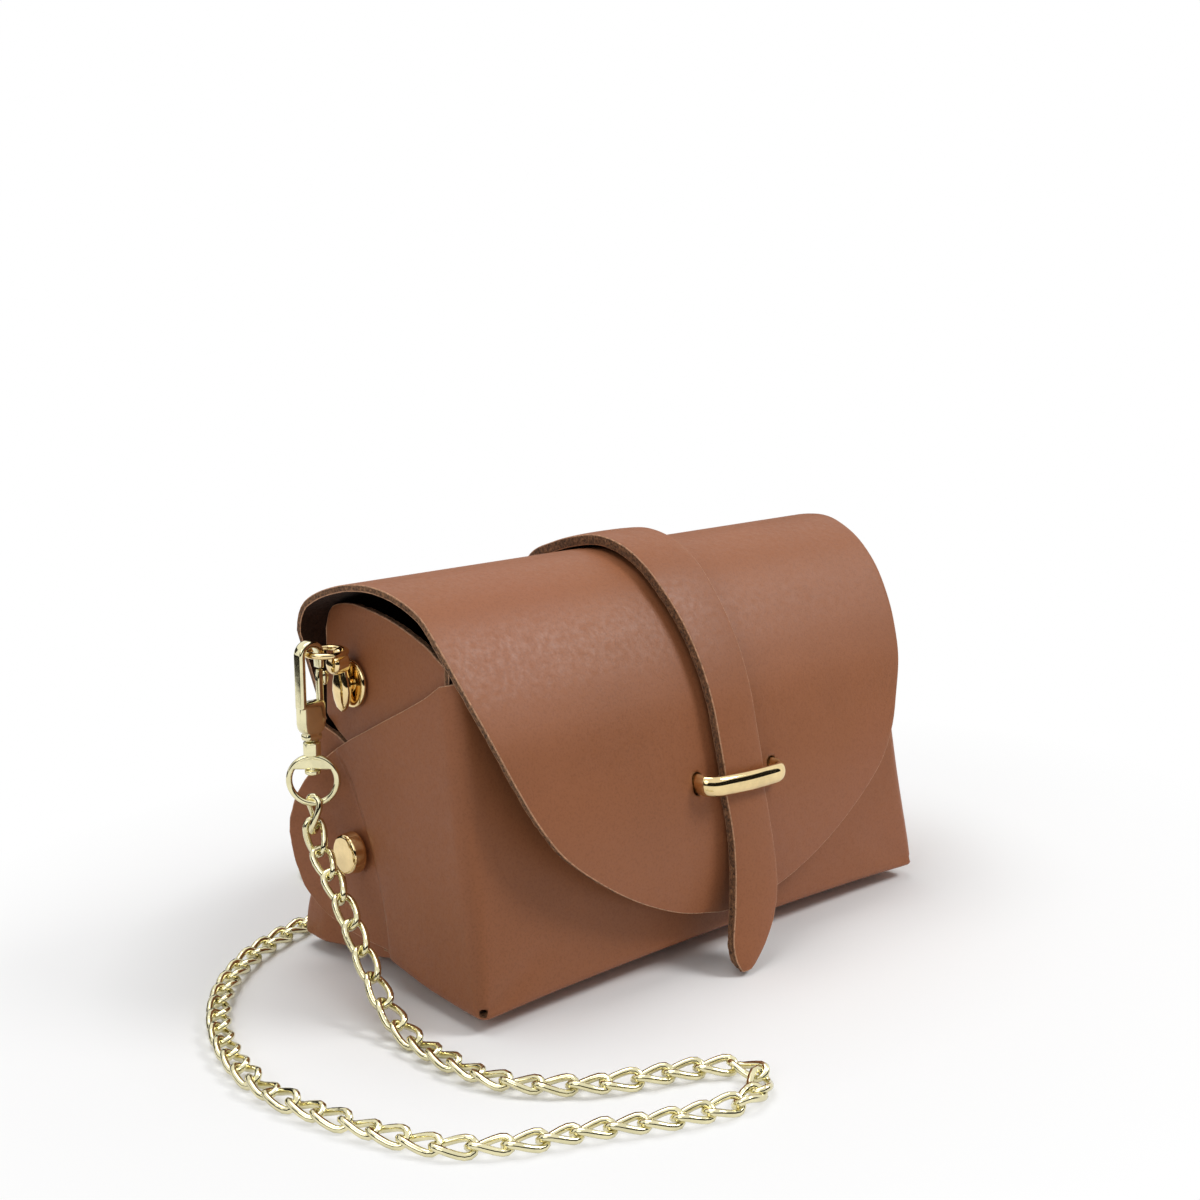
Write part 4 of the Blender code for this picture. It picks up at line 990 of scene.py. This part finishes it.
class HANDBAG_OT_chain(PieceOperator, bpy.types.Operator):
    """Lay the curb chain from the left hook, round in front and behind, to the right hook"""

    bl_idname = "handbag.chain"
    bl_label = "Chain"

    def execute(self, context):
        """Make the chain's links along its route, and the leads at its two ends.

        A link lies flat on the floor, and turns its flat side outwards and forwards where the
        chain hangs. Each is rolled a little, in turn to either side and by chance.
        """
        kit = settings()
        line = chain_path()
        steps = np.linalg.norm(np.diff(line, axis=0), axis=1)
        run = np.concatenate([[0], np.cumsum(steps)])
        pitch = (kit.link_length - 2 * kit.link_wire) / MM
        free = run[-1] - 2 * LINK_INSET
        count = int(free // pitch)
        at = LINK_INSET + np.arange(count + 1) * free / count
        centres, ahead, behind = (
            np.stack([np.interp(at + step, run, line[:, k]) for k in range(3)], axis=1)
            for step in (0, 2, -2))
        along = ahead - behind
        hang = soft_step(centres[:, 2], 4.0, 22.0)[:, None]
        toward = np.where(centres[:, :1] < 0, (-1, 1, 1), (1, 1, 1)) * HANG_FACE
        face = unit(np.array([[0, 0, 1.0]]) * (1 - hang) + toward * hang)
        chance = np.random.default_rng(7)
        rolls = chance.uniform(-LINK_CHANCE, LINK_CHANCE, len(centres))
        tilt = np.where(np.arange(len(centres)) % 2 == 0, LINK_ROLL, -LINK_ROLL)
        lead = int(round(LEAD_LENGTH / pitch))
        parts = {"chain_links": slice(lead, len(centres) - lead),
                 "chain_lead_left": slice(0, lead),
                 "chain_lead_right": slice(len(centres) - lead, len(centres))}
        made = {}
        for name, part in parts.items():
            points, faces = links(centres[part], along[part], face[part],
                                  (rolls + tilt)[part])
            made[name] = make(name, points, faces, [finishes()["pale"]])
        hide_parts("chain")
        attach(made["chain_links"], "root")
        for side, word in SIDES:
            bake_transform(made["chain_lead_" + word])
        return {"FINISHED"}


class HANDBAG_OT_walls(PieceOperator, bpy.types.Operator):
    """Fold the front wall with its wings, the rear wall with its ears, and the bottom"""

    bl_idname = "handbag.walls"
    bl_label = "Leather walls"

    def execute(self, context):
        """Make the three leather pieces that the bag's box is folded from."""
        thick = settings().leather_thickness / MM
        for name, node, (grid, keep) in (
                ("front_wall", "front_panel", front_grid()),
                ("rear_wall", "back_panel", rear_grid()),
                ("bottom", "bottom_panel", (bottom_grid(), None))):
            made = hide(name, grid, thick, keep)
            if name == "front_wall":
                self.punch(made)
            fit(made, node, "root")
        return {"FINISHED"}

    def punch(self, wall):
        """Punch the small relief hole at each lower front corner, where three folds meet."""
        radius, half, inset, z = 1.15, 4, 0.8, 6.0
        profile = [(0, -half), (radius, -half), (radius, half), (0, half)]
        cutters = []
        for side in (-1, 1):
            place = (side * (wing_x(z) - inset), front_y(z) + inset, z)
            points, faces = lathe(profile, place, (side, -1, -0.35), 20)
            cutters.append(make("corner_punch", points, faces, [finishes()["edge"]]))
        carve(wall, cutters, folded=True)


class HANDBAG_OT_flap(PieceOperator, bpy.types.Operator):
    """Curve the flap over the bag's mouth and punch the holes that the loop stands through"""

    bl_idname = "handbag.flap"
    bl_label = "Flap"

    def execute(self, context):
        """Make the flap as one sheet that bends at the rear fold."""
        made = hide("flap_sheet", flap_grid(), settings().leather_thickness / MM)
        self.punch(made)
        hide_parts("flap")
        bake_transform(made)
        return {"FINISHED"}

    def punch(self, flap):
        """Punch an upright oval hole for each leg of the loop."""
        wide, tall = LOOP_THICK / 2 + HOLE_PLAY[0], LOOP_TALL / 2 + HOLE_PLAY[1]
        turn = np.linspace(0, math.pi, 10)
        top = np.stack([wide * np.cos(turn), tall - wide + wide * np.sin(turn)], axis=1)
        ring = np.vstack([top, -top])
        cutters = []
        for side in (-1, 1):
            x, z = loop_place(side * LOOP_SPAN / 2)
            path = [(x, y, z) for y in (-70.0, -55.0, -37.5)]
            points, faces = sweep(path, ring, (0, 0, 1))
            cutters.append(make("hole_cutter", points, faces, [finishes()["edge"]]))
        carve(flap, cutters)


class HANDBAG_OT_strap(PieceOperator, bpy.types.Operator):
    """Lay the strap from its rivet on the rear wall over the flap and through the loop"""

    bl_idname = "handbag.strap"
    bl_label = "Strap"

    def execute(self, context):
        """Make the strap's rear run and its front run with the tongue, split on the roof."""
        line = strap_line(300)
        roof = line[:int(np.argmax(line[:, 1])) + 60]
        split = int(np.argmin(np.abs(roof[:, 0] - SPLIT_DEPTH)
                              + (roof[:, 1] < SPLIT_HEIGHT) * 99))
        for name, part in (("strap_rear_run", slice(0, split + 1)),
                           ("strap_front_run", slice(split, len(line)))):
            made = self.run_of(name, line, part)
            if name == "strap_rear_run":
                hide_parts("strap_back")
                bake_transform(made)
            else:
                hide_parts("strap")
                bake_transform(made)
        return {"FINISHED"}

    def run_of(self, name, line, part):
        """One run of the strap: its outer face is the line lifted by the thickness.

        P(s, t) = (mid(t) + s half(t), y(t), z(t)) + normal (thickness + crown (1 - s^2)^0.8).
        Its edges are averaged over nine rows, and its foot is rounded off.
        """
        normal = outward(line)
        outer = line + normal * STRAP_THICKNESS
        table = np.array(STRAP_EDGES)[::-1]
        front = outer[:, 0] < ROOF_FRONT
        height = np.where(front, outer[:, 1], table[-1, 0])
        left = np.interp(height, table[:, 0], table[:, 1])
        right = np.interp(height, table[:, 0], table[:, 2])
        left, right = (np.convolve(np.pad(v, 4, mode="edge"), np.ones(9) / 9, "valid")
                       * (height > 25) + v * (height <= 25) for v in (left, right))
        foot = np.clip((line[:, 1] - STRAP_FOOT) / 4, 0, 1)
        ease = np.where(front, 1.0, 0.72 + 0.28 * np.sqrt(1 - (1 - foot) ** 2))
        s = np.linspace(-1, 1, 21)
        mid, half = ((left + right) / 2)[part, None], ((right - left) / 2 * ease)[part, None]
        crown = STRAP_CROWN * (1 - s ** 2) ** 0.8
        y = outer[part, :1] + normal[part, :1] * crown
        z = outer[part, 1:] + normal[part, 1:] * crown
        return hide(name, np.stack([mid + s * half, y, z], axis=-1), STRAP_THICKNESS)


class HANDBAG_OT_loop(PieceOperator, bpy.types.Operator):
    """Bend the flat-oval metal loop that the strap passes through"""

    bl_idname = "handbag.loop"
    bl_label = "Strap loop"

    def execute(self, context):
        """Sweep a flat oval along a leg, the bar and the other leg."""
        root = front_y(LOOP_HEIGHT - LOOP_TALL / 2) - GAP
        seat = strap_line(300)
        front = seat[seat[:, 0] < 0]
        bar = np.interp(LOOP_HEIGHT, front[::-1, 1], front[::-1, 0]) - STRAP_THICKNESS - GAP
        bar -= LOOP_THICK / 2
        half = LOOP_SPAN / 2
        route = [(-half, root), (-half, root * 0.6 + bar * 0.4), (-half, bar + 3.6),
                 (-half + 0.8, bar + 1.7), (-half + 2.8, bar + 0.35), (-half + 6.5, bar - 0.25),
                 (0, bar - 0.7)]
        route += [(-x, y) for x, y in route[-2::-1]]
        line = smooth_line(route, 110)
        x, z = loop_place(line[:, 0])
        path = np.stack([x, line[:, 1], z], axis=1)
        points, faces = sweep(path, round_section(LOOP_THICK, LOOP_TALL, 32, 1.0), (0, 0, 1))
        made = make("loop_bar", points, faces, [finishes()["warm"]])
        fit(made, "strap_loop", "root")
        return {"FINISHED"}


class HANDBAG_OT_rivets(PieceOperator, bpy.types.Operator):
    """Set the side rivets and the rivet that holds the strap's foot"""

    bl_idname = "handbag.rivets"
    bl_label = "Rivets"

    def execute(self, context):
        """Turn the rivets' caps, with a rounded rim and a slightly domed face."""
        metal = [finishes()["warm"]]
        for side, word in SIDES:
            lean = (side, 0, SIDE_LEAN / WALL_HEIGHT)
            place = (side * (wing_x(RIVET_Z) + GAP), RIVET_Y, RIVET_Z)
            cap = rounded([(0, -1.0), (2.0, -1.0), (2.0, 0.0), (6.0, 0.0), (6.05, 0.5),
                           (5.7, 3.6), (4.9, 4.0), (0, 4.15)], 0.5)
            made = make("side_rivet_" + word, *lathe(cap, place, lean, 56), metal)
            fit(made, "side_rivet_cap_" + word, "root")
        place = (0, rear_y(STRAP_RIVET) + GAP * 2 + STRAP_THICKNESS, STRAP_RIVET)
        cap = rounded([(0, -1.0), (2.0, -1.0), (2.0, 0.0), (4.5, 0.0), (4.5, 0.4), (3.8, 1.3),
                       (0, 1.6)], 0.5)
        made = make("strap_rivet", *lathe(cap, place, (0, 1, REAR_LEAN / WALL_HEIGHT), 48),
                    metal)
        fit(made, "strap_rivet_cap", "root")
        return {"FINISHED"}


class HANDBAG_OT_studs(PieceOperator, bpy.types.Operator):
    """Set the ring studs: a disc on the ear, a drop-shaped paddle on it, and its ring"""

    bl_idname = "handbag.studs"
    bl_label = "Ring studs"

    def execute(self, context):
        """Make the disc, and the paddle with its post, knuckle, neck and ring, on both sides."""
        metal = [finishes()["warm"]]
        disc_thick, paddle_out = 1.3, 2.1
        knuckle_out, knuckle_up, neck_out = 3.2, 6.6, 3.4
        radius, wire, overlap = 5.7, 1.7, 0.3
        disc_side = rounded([(0, -0.1), (6.6, -0.1), (7.0, 0.3), (6.8, 1.0), (6.2, disc_thick),
                             (0, disc_thick)], 0.3)
        drop = [(-7.6, 0.5, 0.6), (-7.3, 1.4, 1.9), (-6.2, 2.5, 4.3), (-4.0, 3.4, 6.6),
                (-1.5, 3.8, 7.6), (1.2, 3.7, 7.0), (3.2, 3.5, 5.6), (5.0, 3.2, 4.2),
                (6.0, 3.0, 3.4)]
        knuckle_side = rounded([(0, -2.6), (2.6, -2.6), (3.1, -1.9), (3.1, 1.6), (2.5, 2.4),
                                (0, 3.0)], 0.7)
        post_side = [(0, -0.6), (2.4, -0.6), (2.4, 1.6), (0, 1.6)]
        turn = np.arange(64) * 2 * math.pi / 64
        for side, word in SIDES:
            lean = (side, 0, SIDE_LEAN / WALL_HEIGHT)
            face = ear_x(STUD_Z) + GAP
            disc = lathe(disc_side, (side * face, STUD_Y, STUD_Z), lean, 56)
            made = make("stud_disc_" + word, *disc, metal)
            fit(made, "stud_" + word, "root")
            near = face + disc_thick + GAP
            paddle = stack(drop, (side * (near + paddle_out), STUD_Y, STUD_Z), 0.9)
            post = lathe(post_side, (side * near, STUD_Y, STUD_Z), lean, 32)
            knuckle = lathe(knuckle_side,
                            (side * (near + knuckle_out), STUD_Y, STUD_Z + knuckle_up), lean, 40)
            ring_x, ring_z = side * (HOOK_X - radius + overlap), STUD_Z + RING_RISE
            loop = np.stack([ring_x + radius * np.cos(turn), STUD_Y + radius * np.sin(turn),
                             np.full(64, ring_z)], axis=1)
            ring = sweep(loop, round_section(wire, wire, 14, 0.85), (0, 0, 1), closed=True)
            neck = smooth_line([(side * (near + neck_out), STUD_Y, STUD_Z + 8.0),
                                (side * (near + 3.0), STUD_Y, STUD_Z + 9.6),
                                (ring_x - side * (radius - overlap), STUD_Y, ring_z)], 14)
            neck = sweep(neck, round_section(2.6, 3.8, 16), (0, 1, 0),
                         sizes=np.linspace(1.1, 0.7, 14))
            casting = joined(paddle, post, knuckle, neck, ring)
            made = make("ring_casting_" + word, *casting, metal)
            fit(made, "ring_stud_" + word, "hook_" + word)
        return {"FINISHED"}


class HANDBAG_OT_hooks(PieceOperator, bpy.types.Operator):
    """Cast the snap hooks: shank and claw in one, and the sprung gate with its thumb piece"""

    bl_idname = "handbag.hooks"
    bl_label = "Snap hooks"

    def execute(self, context):
        """Make hook body and gate on both sides.

        The shank, the gate and its thumb piece are stacks of rounded oblongs; the claw is a
        squarish section carried up, round a half circle (r cos a, r sin a) and down.
        """
        metal = [finishes()["pale"]]
        low, bar_z = HOOK_BLOCK_LOW, STUD_Z + RING_RISE
        claw_wide, claw_deep, thumb_in = 2.0, 3.7, 1.7
        block = [(0.00, 3.6, 2.8), (0.15, 4.9, 3.5), (0.7, 5.3, 3.9), (1.6, 5.3, 3.9),
                 (1.9, 4.9, 3.5), (2.1, 4.9, 3.5), (2.6, 6.4, 3.7), (3.6, 7.6, 3.8),
                 (5.0, 8.2, 3.8), (9.5, 8.2, 3.8), (10.6, 8.0, 3.7), (11.0, 7.2, 3.1)]
        strip = [(-1.5, 1.1, 1.0), (-1.3, 1.9, 1.5), (0, 2.0, 1.6), (4, 1.9, 1.6),
                 (11, 1.9, 1.6), (14.0, 1.9, 1.6), (14.3, 1.3, 1.1)]
        knob = [(9.6, 0.5, 0.8), (10.2, 1.4, 1.5), (11.6, 2.2, 1.9), (12.8, 2.2, 1.9),
                (13.5, 1.2, 1.2)]
        top = low + block[-1][0]
        leg, tip = HOOK_X + CLAW_RADIUS, HOOK_X - CLAW_RADIUS
        turn = np.radians(np.linspace(0, 180, 21))
        arch = np.stack([HOOK_X + CLAW_RADIUS * np.cos(turn),
                         bar_z + CLAW_RADIUS * np.sin(turn)], axis=1)
        line = smooth_line(np.vstack([
            [(leg, top - 1.5), (leg, top + 3.0), (leg, bar_z - 3.0)], arch,
            [(tip, bar_z - 2.0), (tip, bar_z - 3.9)]]), 60)
        slim = np.interp(np.linspace(0, 1, 60), [0, 0.85, 1], [1, 1, 0.85])
        for side, word in SIDES:
            shank = stack(block, (side * HOOK_X, STUD_Y, low), 0.42)
            path = np.stack([side * line[:, 0], np.full(60, STUD_Y), line[:, 1]], axis=1)
            section = round_section(claw_wide, claw_deep, 24, 0.5)
            claw = sweep(path, section, (0, 1, 0), sizes=slim)
            made = make("snap_hook_" + word, *joined(shank, claw), metal)
            fit(made, "hook_body_" + word, "hook_" + word)
            bar = stack(strip, (side * tip, STUD_Y, low + GATE_RISE), 0.5)
            thumb = stack(knob, (side * (tip - thumb_in), STUD_Y, low + GATE_RISE), 0.8)
            made = make("hook_gate_" + word, *joined(bar, thumb), metal)
            fit(made, "gate_" + word, "gate_" + word)
        return {"FINISHED"}


class HANDBAG_OT_swivels(PieceOperator, bpy.types.Operator):
    """Hang the swivel rings with their barrel and rivet head, and the chain's end links"""

    bl_idname = "handbag.swivels"
    bl_label = "Swivel rings"

    def execute(self, context):
        """Make swivel ring and end link on both sides.

        The ring's upper segment, above a chord, is filled: its half width at a height h over
        the ring's centre is sqrt(R^2 - h^2).
        """
        kit = settings()
        metal = [finishes()["pale"]]
        along = np.array((math.cos(RING_TURN), math.sin(RING_TURN), 0))
        face = np.array((-along[1], along[0], 0))
        radius, wire, hanger = 6.75, 1.8, 4.6
        high, chord, head_in = 7.4, 3.5, 0.9
        top = HOOK_BLOCK_LOW - GAP
        centre_z = top - hanger - radius
        turn = (np.arange(72) * 2 * math.pi / 72)[:, None]
        barrel_side = rounded([(0, 0.0), (1.6, 0.0), (2.5, -0.3), (2.5, -3.9), (2.1, -4.2),
                               (0, -4.2)], 0.25)[::-1]
        head_side = rounded([(0, 1.2), (1.2, 1.2), (1.2, 0.5), (2.3, 0.45), (2.3, -0.6),
                             (1.4, -0.95), (0, -1.0)], 0.3)[::-1]
        rows = np.linspace(chord, high, 9)
        wide = 2 * (np.sqrt(np.maximum(high ** 2 - rows ** 2, 0.02)) - 0.1)
        table = np.vstack([(chord - 0.25, 0.3 * wide[0], 0.9),
                           (chord - 0.2, 0.97 * wide[0], 1.5),
                           np.stack([rows, wide, np.linspace(1.9, 1.3, 9)], axis=1)])
        for side, word in SIDES:
            axis = np.array((side * HOOK_X, STUD_Y, 0))
            centre = axis + (0, 0, centre_z)
            ring = centre + radius * (np.cos(turn) * along + np.sin(turn) * (0, 0, 1))
            ring = sweep(ring, round_section(wire, wire, 16, 0.9), face, closed=True)
            barrel = lathe(barrel_side, axis + (0, 0, top), (0, 0, 1), 36)
            shoulder = stack(table, centre, 0.25, RING_TURN)
            head = lathe(head_side, centre + (0, 0, chord - head_in), (0, 0, 1), 32)
            made = make("swivel_" + word, *joined(ring, barrel, shoulder, head), metal)
            fit(made, "swivel_ring_" + word, "swivel_" + word)
            hang = (kit.link_wire - kit.link_length / 2) / MM
            place = centre + (0, 0, wire / 2 - radius + hang)
            points, faces = links(place[None], np.array([[0.0, 0.06, -1.0]]),
                                  (0.35 * face + 0.93 * along)[None], np.zeros(1), 40, 12)
            made = make("end_link_" + word, points, faces, metal)
            fit(made, "chain_end_link_" + word, "swivel_" + word)
        return {"FINISHED"}


class HANDBAG_OT_finishes(PieceOperator, bpy.types.Operator):
    """Give the fittings that keep their plain solids their plated finish"""

    bl_idname = "handbag.finishes"
    bl_label = "Finishes of small fittings"

    def execute(self, context):
        """Put each record slot's finish on its solids."""
        kit = finishes()
        chosen = {"tan_leather": kit["leather"], "warm_gold": kit["warm"],
                  "pale_gold": kit["pale"], "spring_steel": kit["steel"]}
        for part in frame["record"]["subparts"]:
            solid = frame["nodes"][part["node"]]
            for slot in solid.material_slots:
                slot.link = "OBJECT"
                slot.material = chosen[part["material_slot"]]
        return {"FINISHED"}


class HANDBAG_OT_stage(PieceOperator, bpy.types.Operator):
    """Set the pale floor, the soft lamps and the white background"""

    bl_idname = "handbag.stage"
    bl_label = "Stage"

    def execute(self, context):
        """Make floor, world, dark cards and lamps."""
        self.floor()
        self.world(context)
        self.dark_cards()
        kit = settings()
        for name, place, aim, size, power in (
                ("top lamp", (-0.1, 0.25, 1.1), (0, 0, 0.05), 0.8, kit.top_lamp),
                ("side lamp", (-0.9, -0.25, 0.55), (0, 0, 0.06), 0.6, kit.side_lamp),
                ("key lamp", (0.62, -0.62, 0.95), (0, 0, 0.05), 0.45, kit.key_lamp)):
            data = bpy.data.lights.new(name, "AREA")
            data.shape = "DISK"
            data.size = size
            data.energy = power
            lamp = bpy.data.objects.new(name, data)
            context.scene.collection.objects.link(lamp)
            lamp.location = place
            look = Vector(aim) - Vector(place)
            lamp.rotation_euler = look.to_track_quat("-Z", "Y").to_euler()
        context.scene.view_settings.view_transform = "Standard"
        return {"FINISHED"}

    def floor(self):
        """A round floor: it keeps the shadow near the bag and turns plain white further out."""
        rings = (0, 120, 300, 600, 1200, 2400)
        points, faces = lathe([(r, -0.02) for r in rings], (0, 0, 0), (0, 0, 1), 64)
        coat = Finish("pale floor", (0.92, 0.92, 0.92), 0.9)
        nodes, wires = coat.nodes, coat.wires
        coat.shader.inputs["Specular IOR Level"].default_value = 0.0
        away = nodes.new("ShaderNodeVectorMath")
        away.operation = "LENGTH"
        shape = nodes.new("ShaderNodeMapping")
        shape.inputs["Scale"].default_value = (0.75, 1.0, 1.0)
        wires.new(coat.here, shape.inputs["Vector"])
        wires.new(shape.outputs["Vector"], away.inputs[0])
        share = coat.tones(away.outputs["Value"], (1.0, 1.0, 1.0),
                           [(0.08, 0.0), (0.10, 0.10), (0.13, 0.6), (0.20, 1.0)])
        white = nodes.new("ShaderNodeEmission")
        shown = nodes.new("ShaderNodeMath")
        shown.operation = "MULTIPLY"
        wires.new(share, shown.inputs[0])
        wires.new(seen_or_mirrored(nodes, wires), shown.inputs[1])
        mixed = nodes.new("ShaderNodeMixShader")
        wires.new(shown.outputs["Value"], mixed.inputs["Fac"])
        wires.new(coat.shader.outputs["BSDF"], mixed.inputs[1])
        wires.new(white.outputs["Emission"], mixed.inputs[2])
        wires.new(mixed.outputs["Shader"], nodes["Material Output"].inputs["Surface"])
        make("floor", points, faces, [coat.material])

    def dark_cards(self):
        """Dark studio cards that only the mirrored rays meet, so that metal shows its form.

        P(a, h) = (R sin a, -R cos a, h), a strip of an upright cylinder.
        """
        cloth = Finish("dark card", (0.02, 0.018, 0.016), 1.0)
        cloth.shader.inputs["Specular IOR Level"].default_value = 0.0
        for name, radius, (start, end), (low, high) in (
                ("front_card", 1200.0, (-112, 60), (30.0, 620.0)),
                ("rear_card", 1200.0, (120, 215), (120.0, 520.0)),
                ("left_card", 420.0, (-165, -105), (0.0, 70.0))):
            a, h = np.meshgrid(np.radians(np.linspace(start, end, 40)),
                               np.linspace(low, high, 3), indexing="ij")
            points = np.stack([radius * np.sin(a), -radius * np.cos(a), h], axis=-1)
            card = make(name, points.reshape(-1, 3), grid_faces(40, 3), [cloth.material])
            card.visible_camera = card.visible_diffuse = card.visible_shadow = False
            card.visible_transmission = False

    def world(self, context):
        """White where it is seen or mirrored, and a soft grey light elsewhere."""
        world = bpy.data.worlds.new("studio")
        world.use_nodes = True
        context.scene.world = world
        nodes, wires = world.node_tree.nodes, world.node_tree.links
        soft = nodes["Background"]
        soft.inputs["Color"].default_value = (1.0, 0.99, 0.98, 1.0)
        soft.inputs["Strength"].default_value = settings().sky
        white = nodes.new("ShaderNodeBackground")
        white.inputs["Color"].default_value = (1, 1, 1, 1)
        white.inputs["Strength"].default_value = 1.0
        mixed = nodes.new("ShaderNodeMixShader")
        wires.new(seen_or_mirrored(nodes, wires), mixed.inputs["Fac"])
        wires.new(soft.outputs["Background"], mixed.inputs[1])
        wires.new(white.outputs["Background"], mixed.inputs[2])
        wires.new(mixed.outputs["Shader"], nodes["World Output"].inputs["Surface"])


class HandbagSettings(bpy.types.PropertyGroup):
    """Sizes and colours of the bag and its stage."""

    leather_thickness: bpy.props.FloatProperty(
        name="Leather thickness", description="Thickness of the bag's leather",
        default=0.002, min=0.001, max=0.004, subtype="DISTANCE", unit="LENGTH")
    edge_rounding: bpy.props.FloatProperty(
        name="Edge rounding", description="Radius of the leather's cut corners",
        default=0.0003, min=0.0001, max=0.0008, precision=5, subtype="DISTANCE", unit="LENGTH")
    link_length: bpy.props.FloatProperty(
        name="Link length", description="Outer length of a chain link",
        default=0.0122, min=0.006, max=0.02, precision=4, subtype="DISTANCE", unit="LENGTH")
    link_width: bpy.props.FloatProperty(
        name="Link width", description="Outer width of a chain link",
        default=0.007, min=0.004, max=0.012, precision=4, subtype="DISTANCE", unit="LENGTH")
    link_wire: bpy.props.FloatProperty(
        name="Link wire", description="Thickness of a chain link's wire",
        default=0.00195, min=0.001, max=0.003, precision=5, subtype="DISTANCE", unit="LENGTH")
    leather_colour: bpy.props.FloatVectorProperty(
        name="Leather colour", description="Colour of the leather's smooth face",
        default=(*srgb(150, 93, 59), 1.0), size=4, min=0, max=1, subtype="COLOR")
    edge_colour: bpy.props.FloatVectorProperty(
        name="Cut edge colour", description="Colour of the leather's cut edges",
        default=(*srgb(140, 100, 68), 1.0), size=4, min=0, max=1, subtype="COLOR")
    inside_colour: bpy.props.FloatVectorProperty(
        name="Inside colour", description="Colour of the leather's inner side",
        default=(*srgb(50, 32, 23), 1.0), size=4, min=0, max=1, subtype="COLOR")
    # Pale colour painted on the cut edges' rounded corners as their highlight
    rim_highlight_colour: bpy.props.FloatVectorProperty(
        name="Painted rim highlight colour", description="Colour painted on the cut edges' corners as their highlight",
        default=(*srgb(190, 142, 108), 1.0), size=4, min=0, max=1, subtype="COLOR")
    warm_gold: bpy.props.FloatVectorProperty(
        name="Warm gold", description="Plating of the loop, studs and rivets",
        default=(*srgb(240, 214, 160), 1.0), size=4, min=0, max=1, subtype="COLOR")
    pale_gold: bpy.props.FloatVectorProperty(
        name="Pale gold", description="Plating of the hooks and the chain",
        default=(*srgb(234, 226, 184), 1.0), size=4, min=0, max=1, subtype="COLOR")
    lens: bpy.props.FloatProperty(
        name="Lens", description="Focal length of the camera in millimetres",
        default=53.3, min=20, max=200)
    sky: bpy.props.FloatProperty(
        name="Sky light", description="Strength of the soft light from all round",
        default=0.30, min=0, max=2)
    top_lamp: bpy.props.FloatProperty(
        name="Top lamp", description="Power of the lamp above the bag",
        default=5.0, min=0, max=100, unit="POWER")
    side_lamp: bpy.props.FloatProperty(
        name="Side lamp", description="Power of the lamp at the bag's left",
        default=1.6, min=0, max=100, unit="POWER")
    key_lamp: bpy.props.FloatProperty(
        name="Key lamp", description="Power of the lamp at the bag's right front",
        default=7.0, min=0, max=100, unit="POWER")


STEPS = (HANDBAG_OT_camera, HANDBAG_OT_chain, HANDBAG_OT_walls, HANDBAG_OT_flap,
         HANDBAG_OT_strap, HANDBAG_OT_loop, HANDBAG_OT_rivets, HANDBAG_OT_studs,
         HANDBAG_OT_hooks, HANDBAG_OT_swivels, HANDBAG_OT_finishes, HANDBAG_OT_stage)


class HANDBAG_PT_panel(bpy.types.Panel):
    """Lists the bag's sizes, colours and steps."""

    bl_idname = "HANDBAG_PT_panel"
    bl_label = "Handbag"
    bl_space_type = "VIEW_3D"
    bl_region_type = "UI"
    bl_category = "Handbag"

    def draw(self, context):
        """Draw the settings and a button for each step."""
        for name in HandbagSettings.__annotations__:
            self.layout.prop(settings(), name)
        for step in STEPS:
            self.layout.operator(step.bl_idname)


def register():
    """Register the settings, the steps and the panel."""
    bpy.utils.register_class(HandbagSettings)
    bpy.types.Scene.handbag = bpy.props.PointerProperty(type=HandbagSettings)
    for step in STEPS:
        bpy.utils.register_class(step)
    bpy.utils.register_class(HANDBAG_PT_panel)


def unregister():
    """Take the panel, the steps and the settings away again."""
    bpy.utils.unregister_class(HANDBAG_PT_panel)
    for step in reversed(STEPS):
        bpy.utils.unregister_class(step)
    del bpy.types.Scene.handbag
    bpy.utils.unregister_class(HandbagSettings)


def main():
    """Build every piece in order."""
    register()
    for step in STEPS:
        group, name = step.bl_idname.split(".")
        getattr(getattr(bpy.ops, group), name)()
    bpy.context.view_layer.update()


if __name__ == "__main__":
    main()
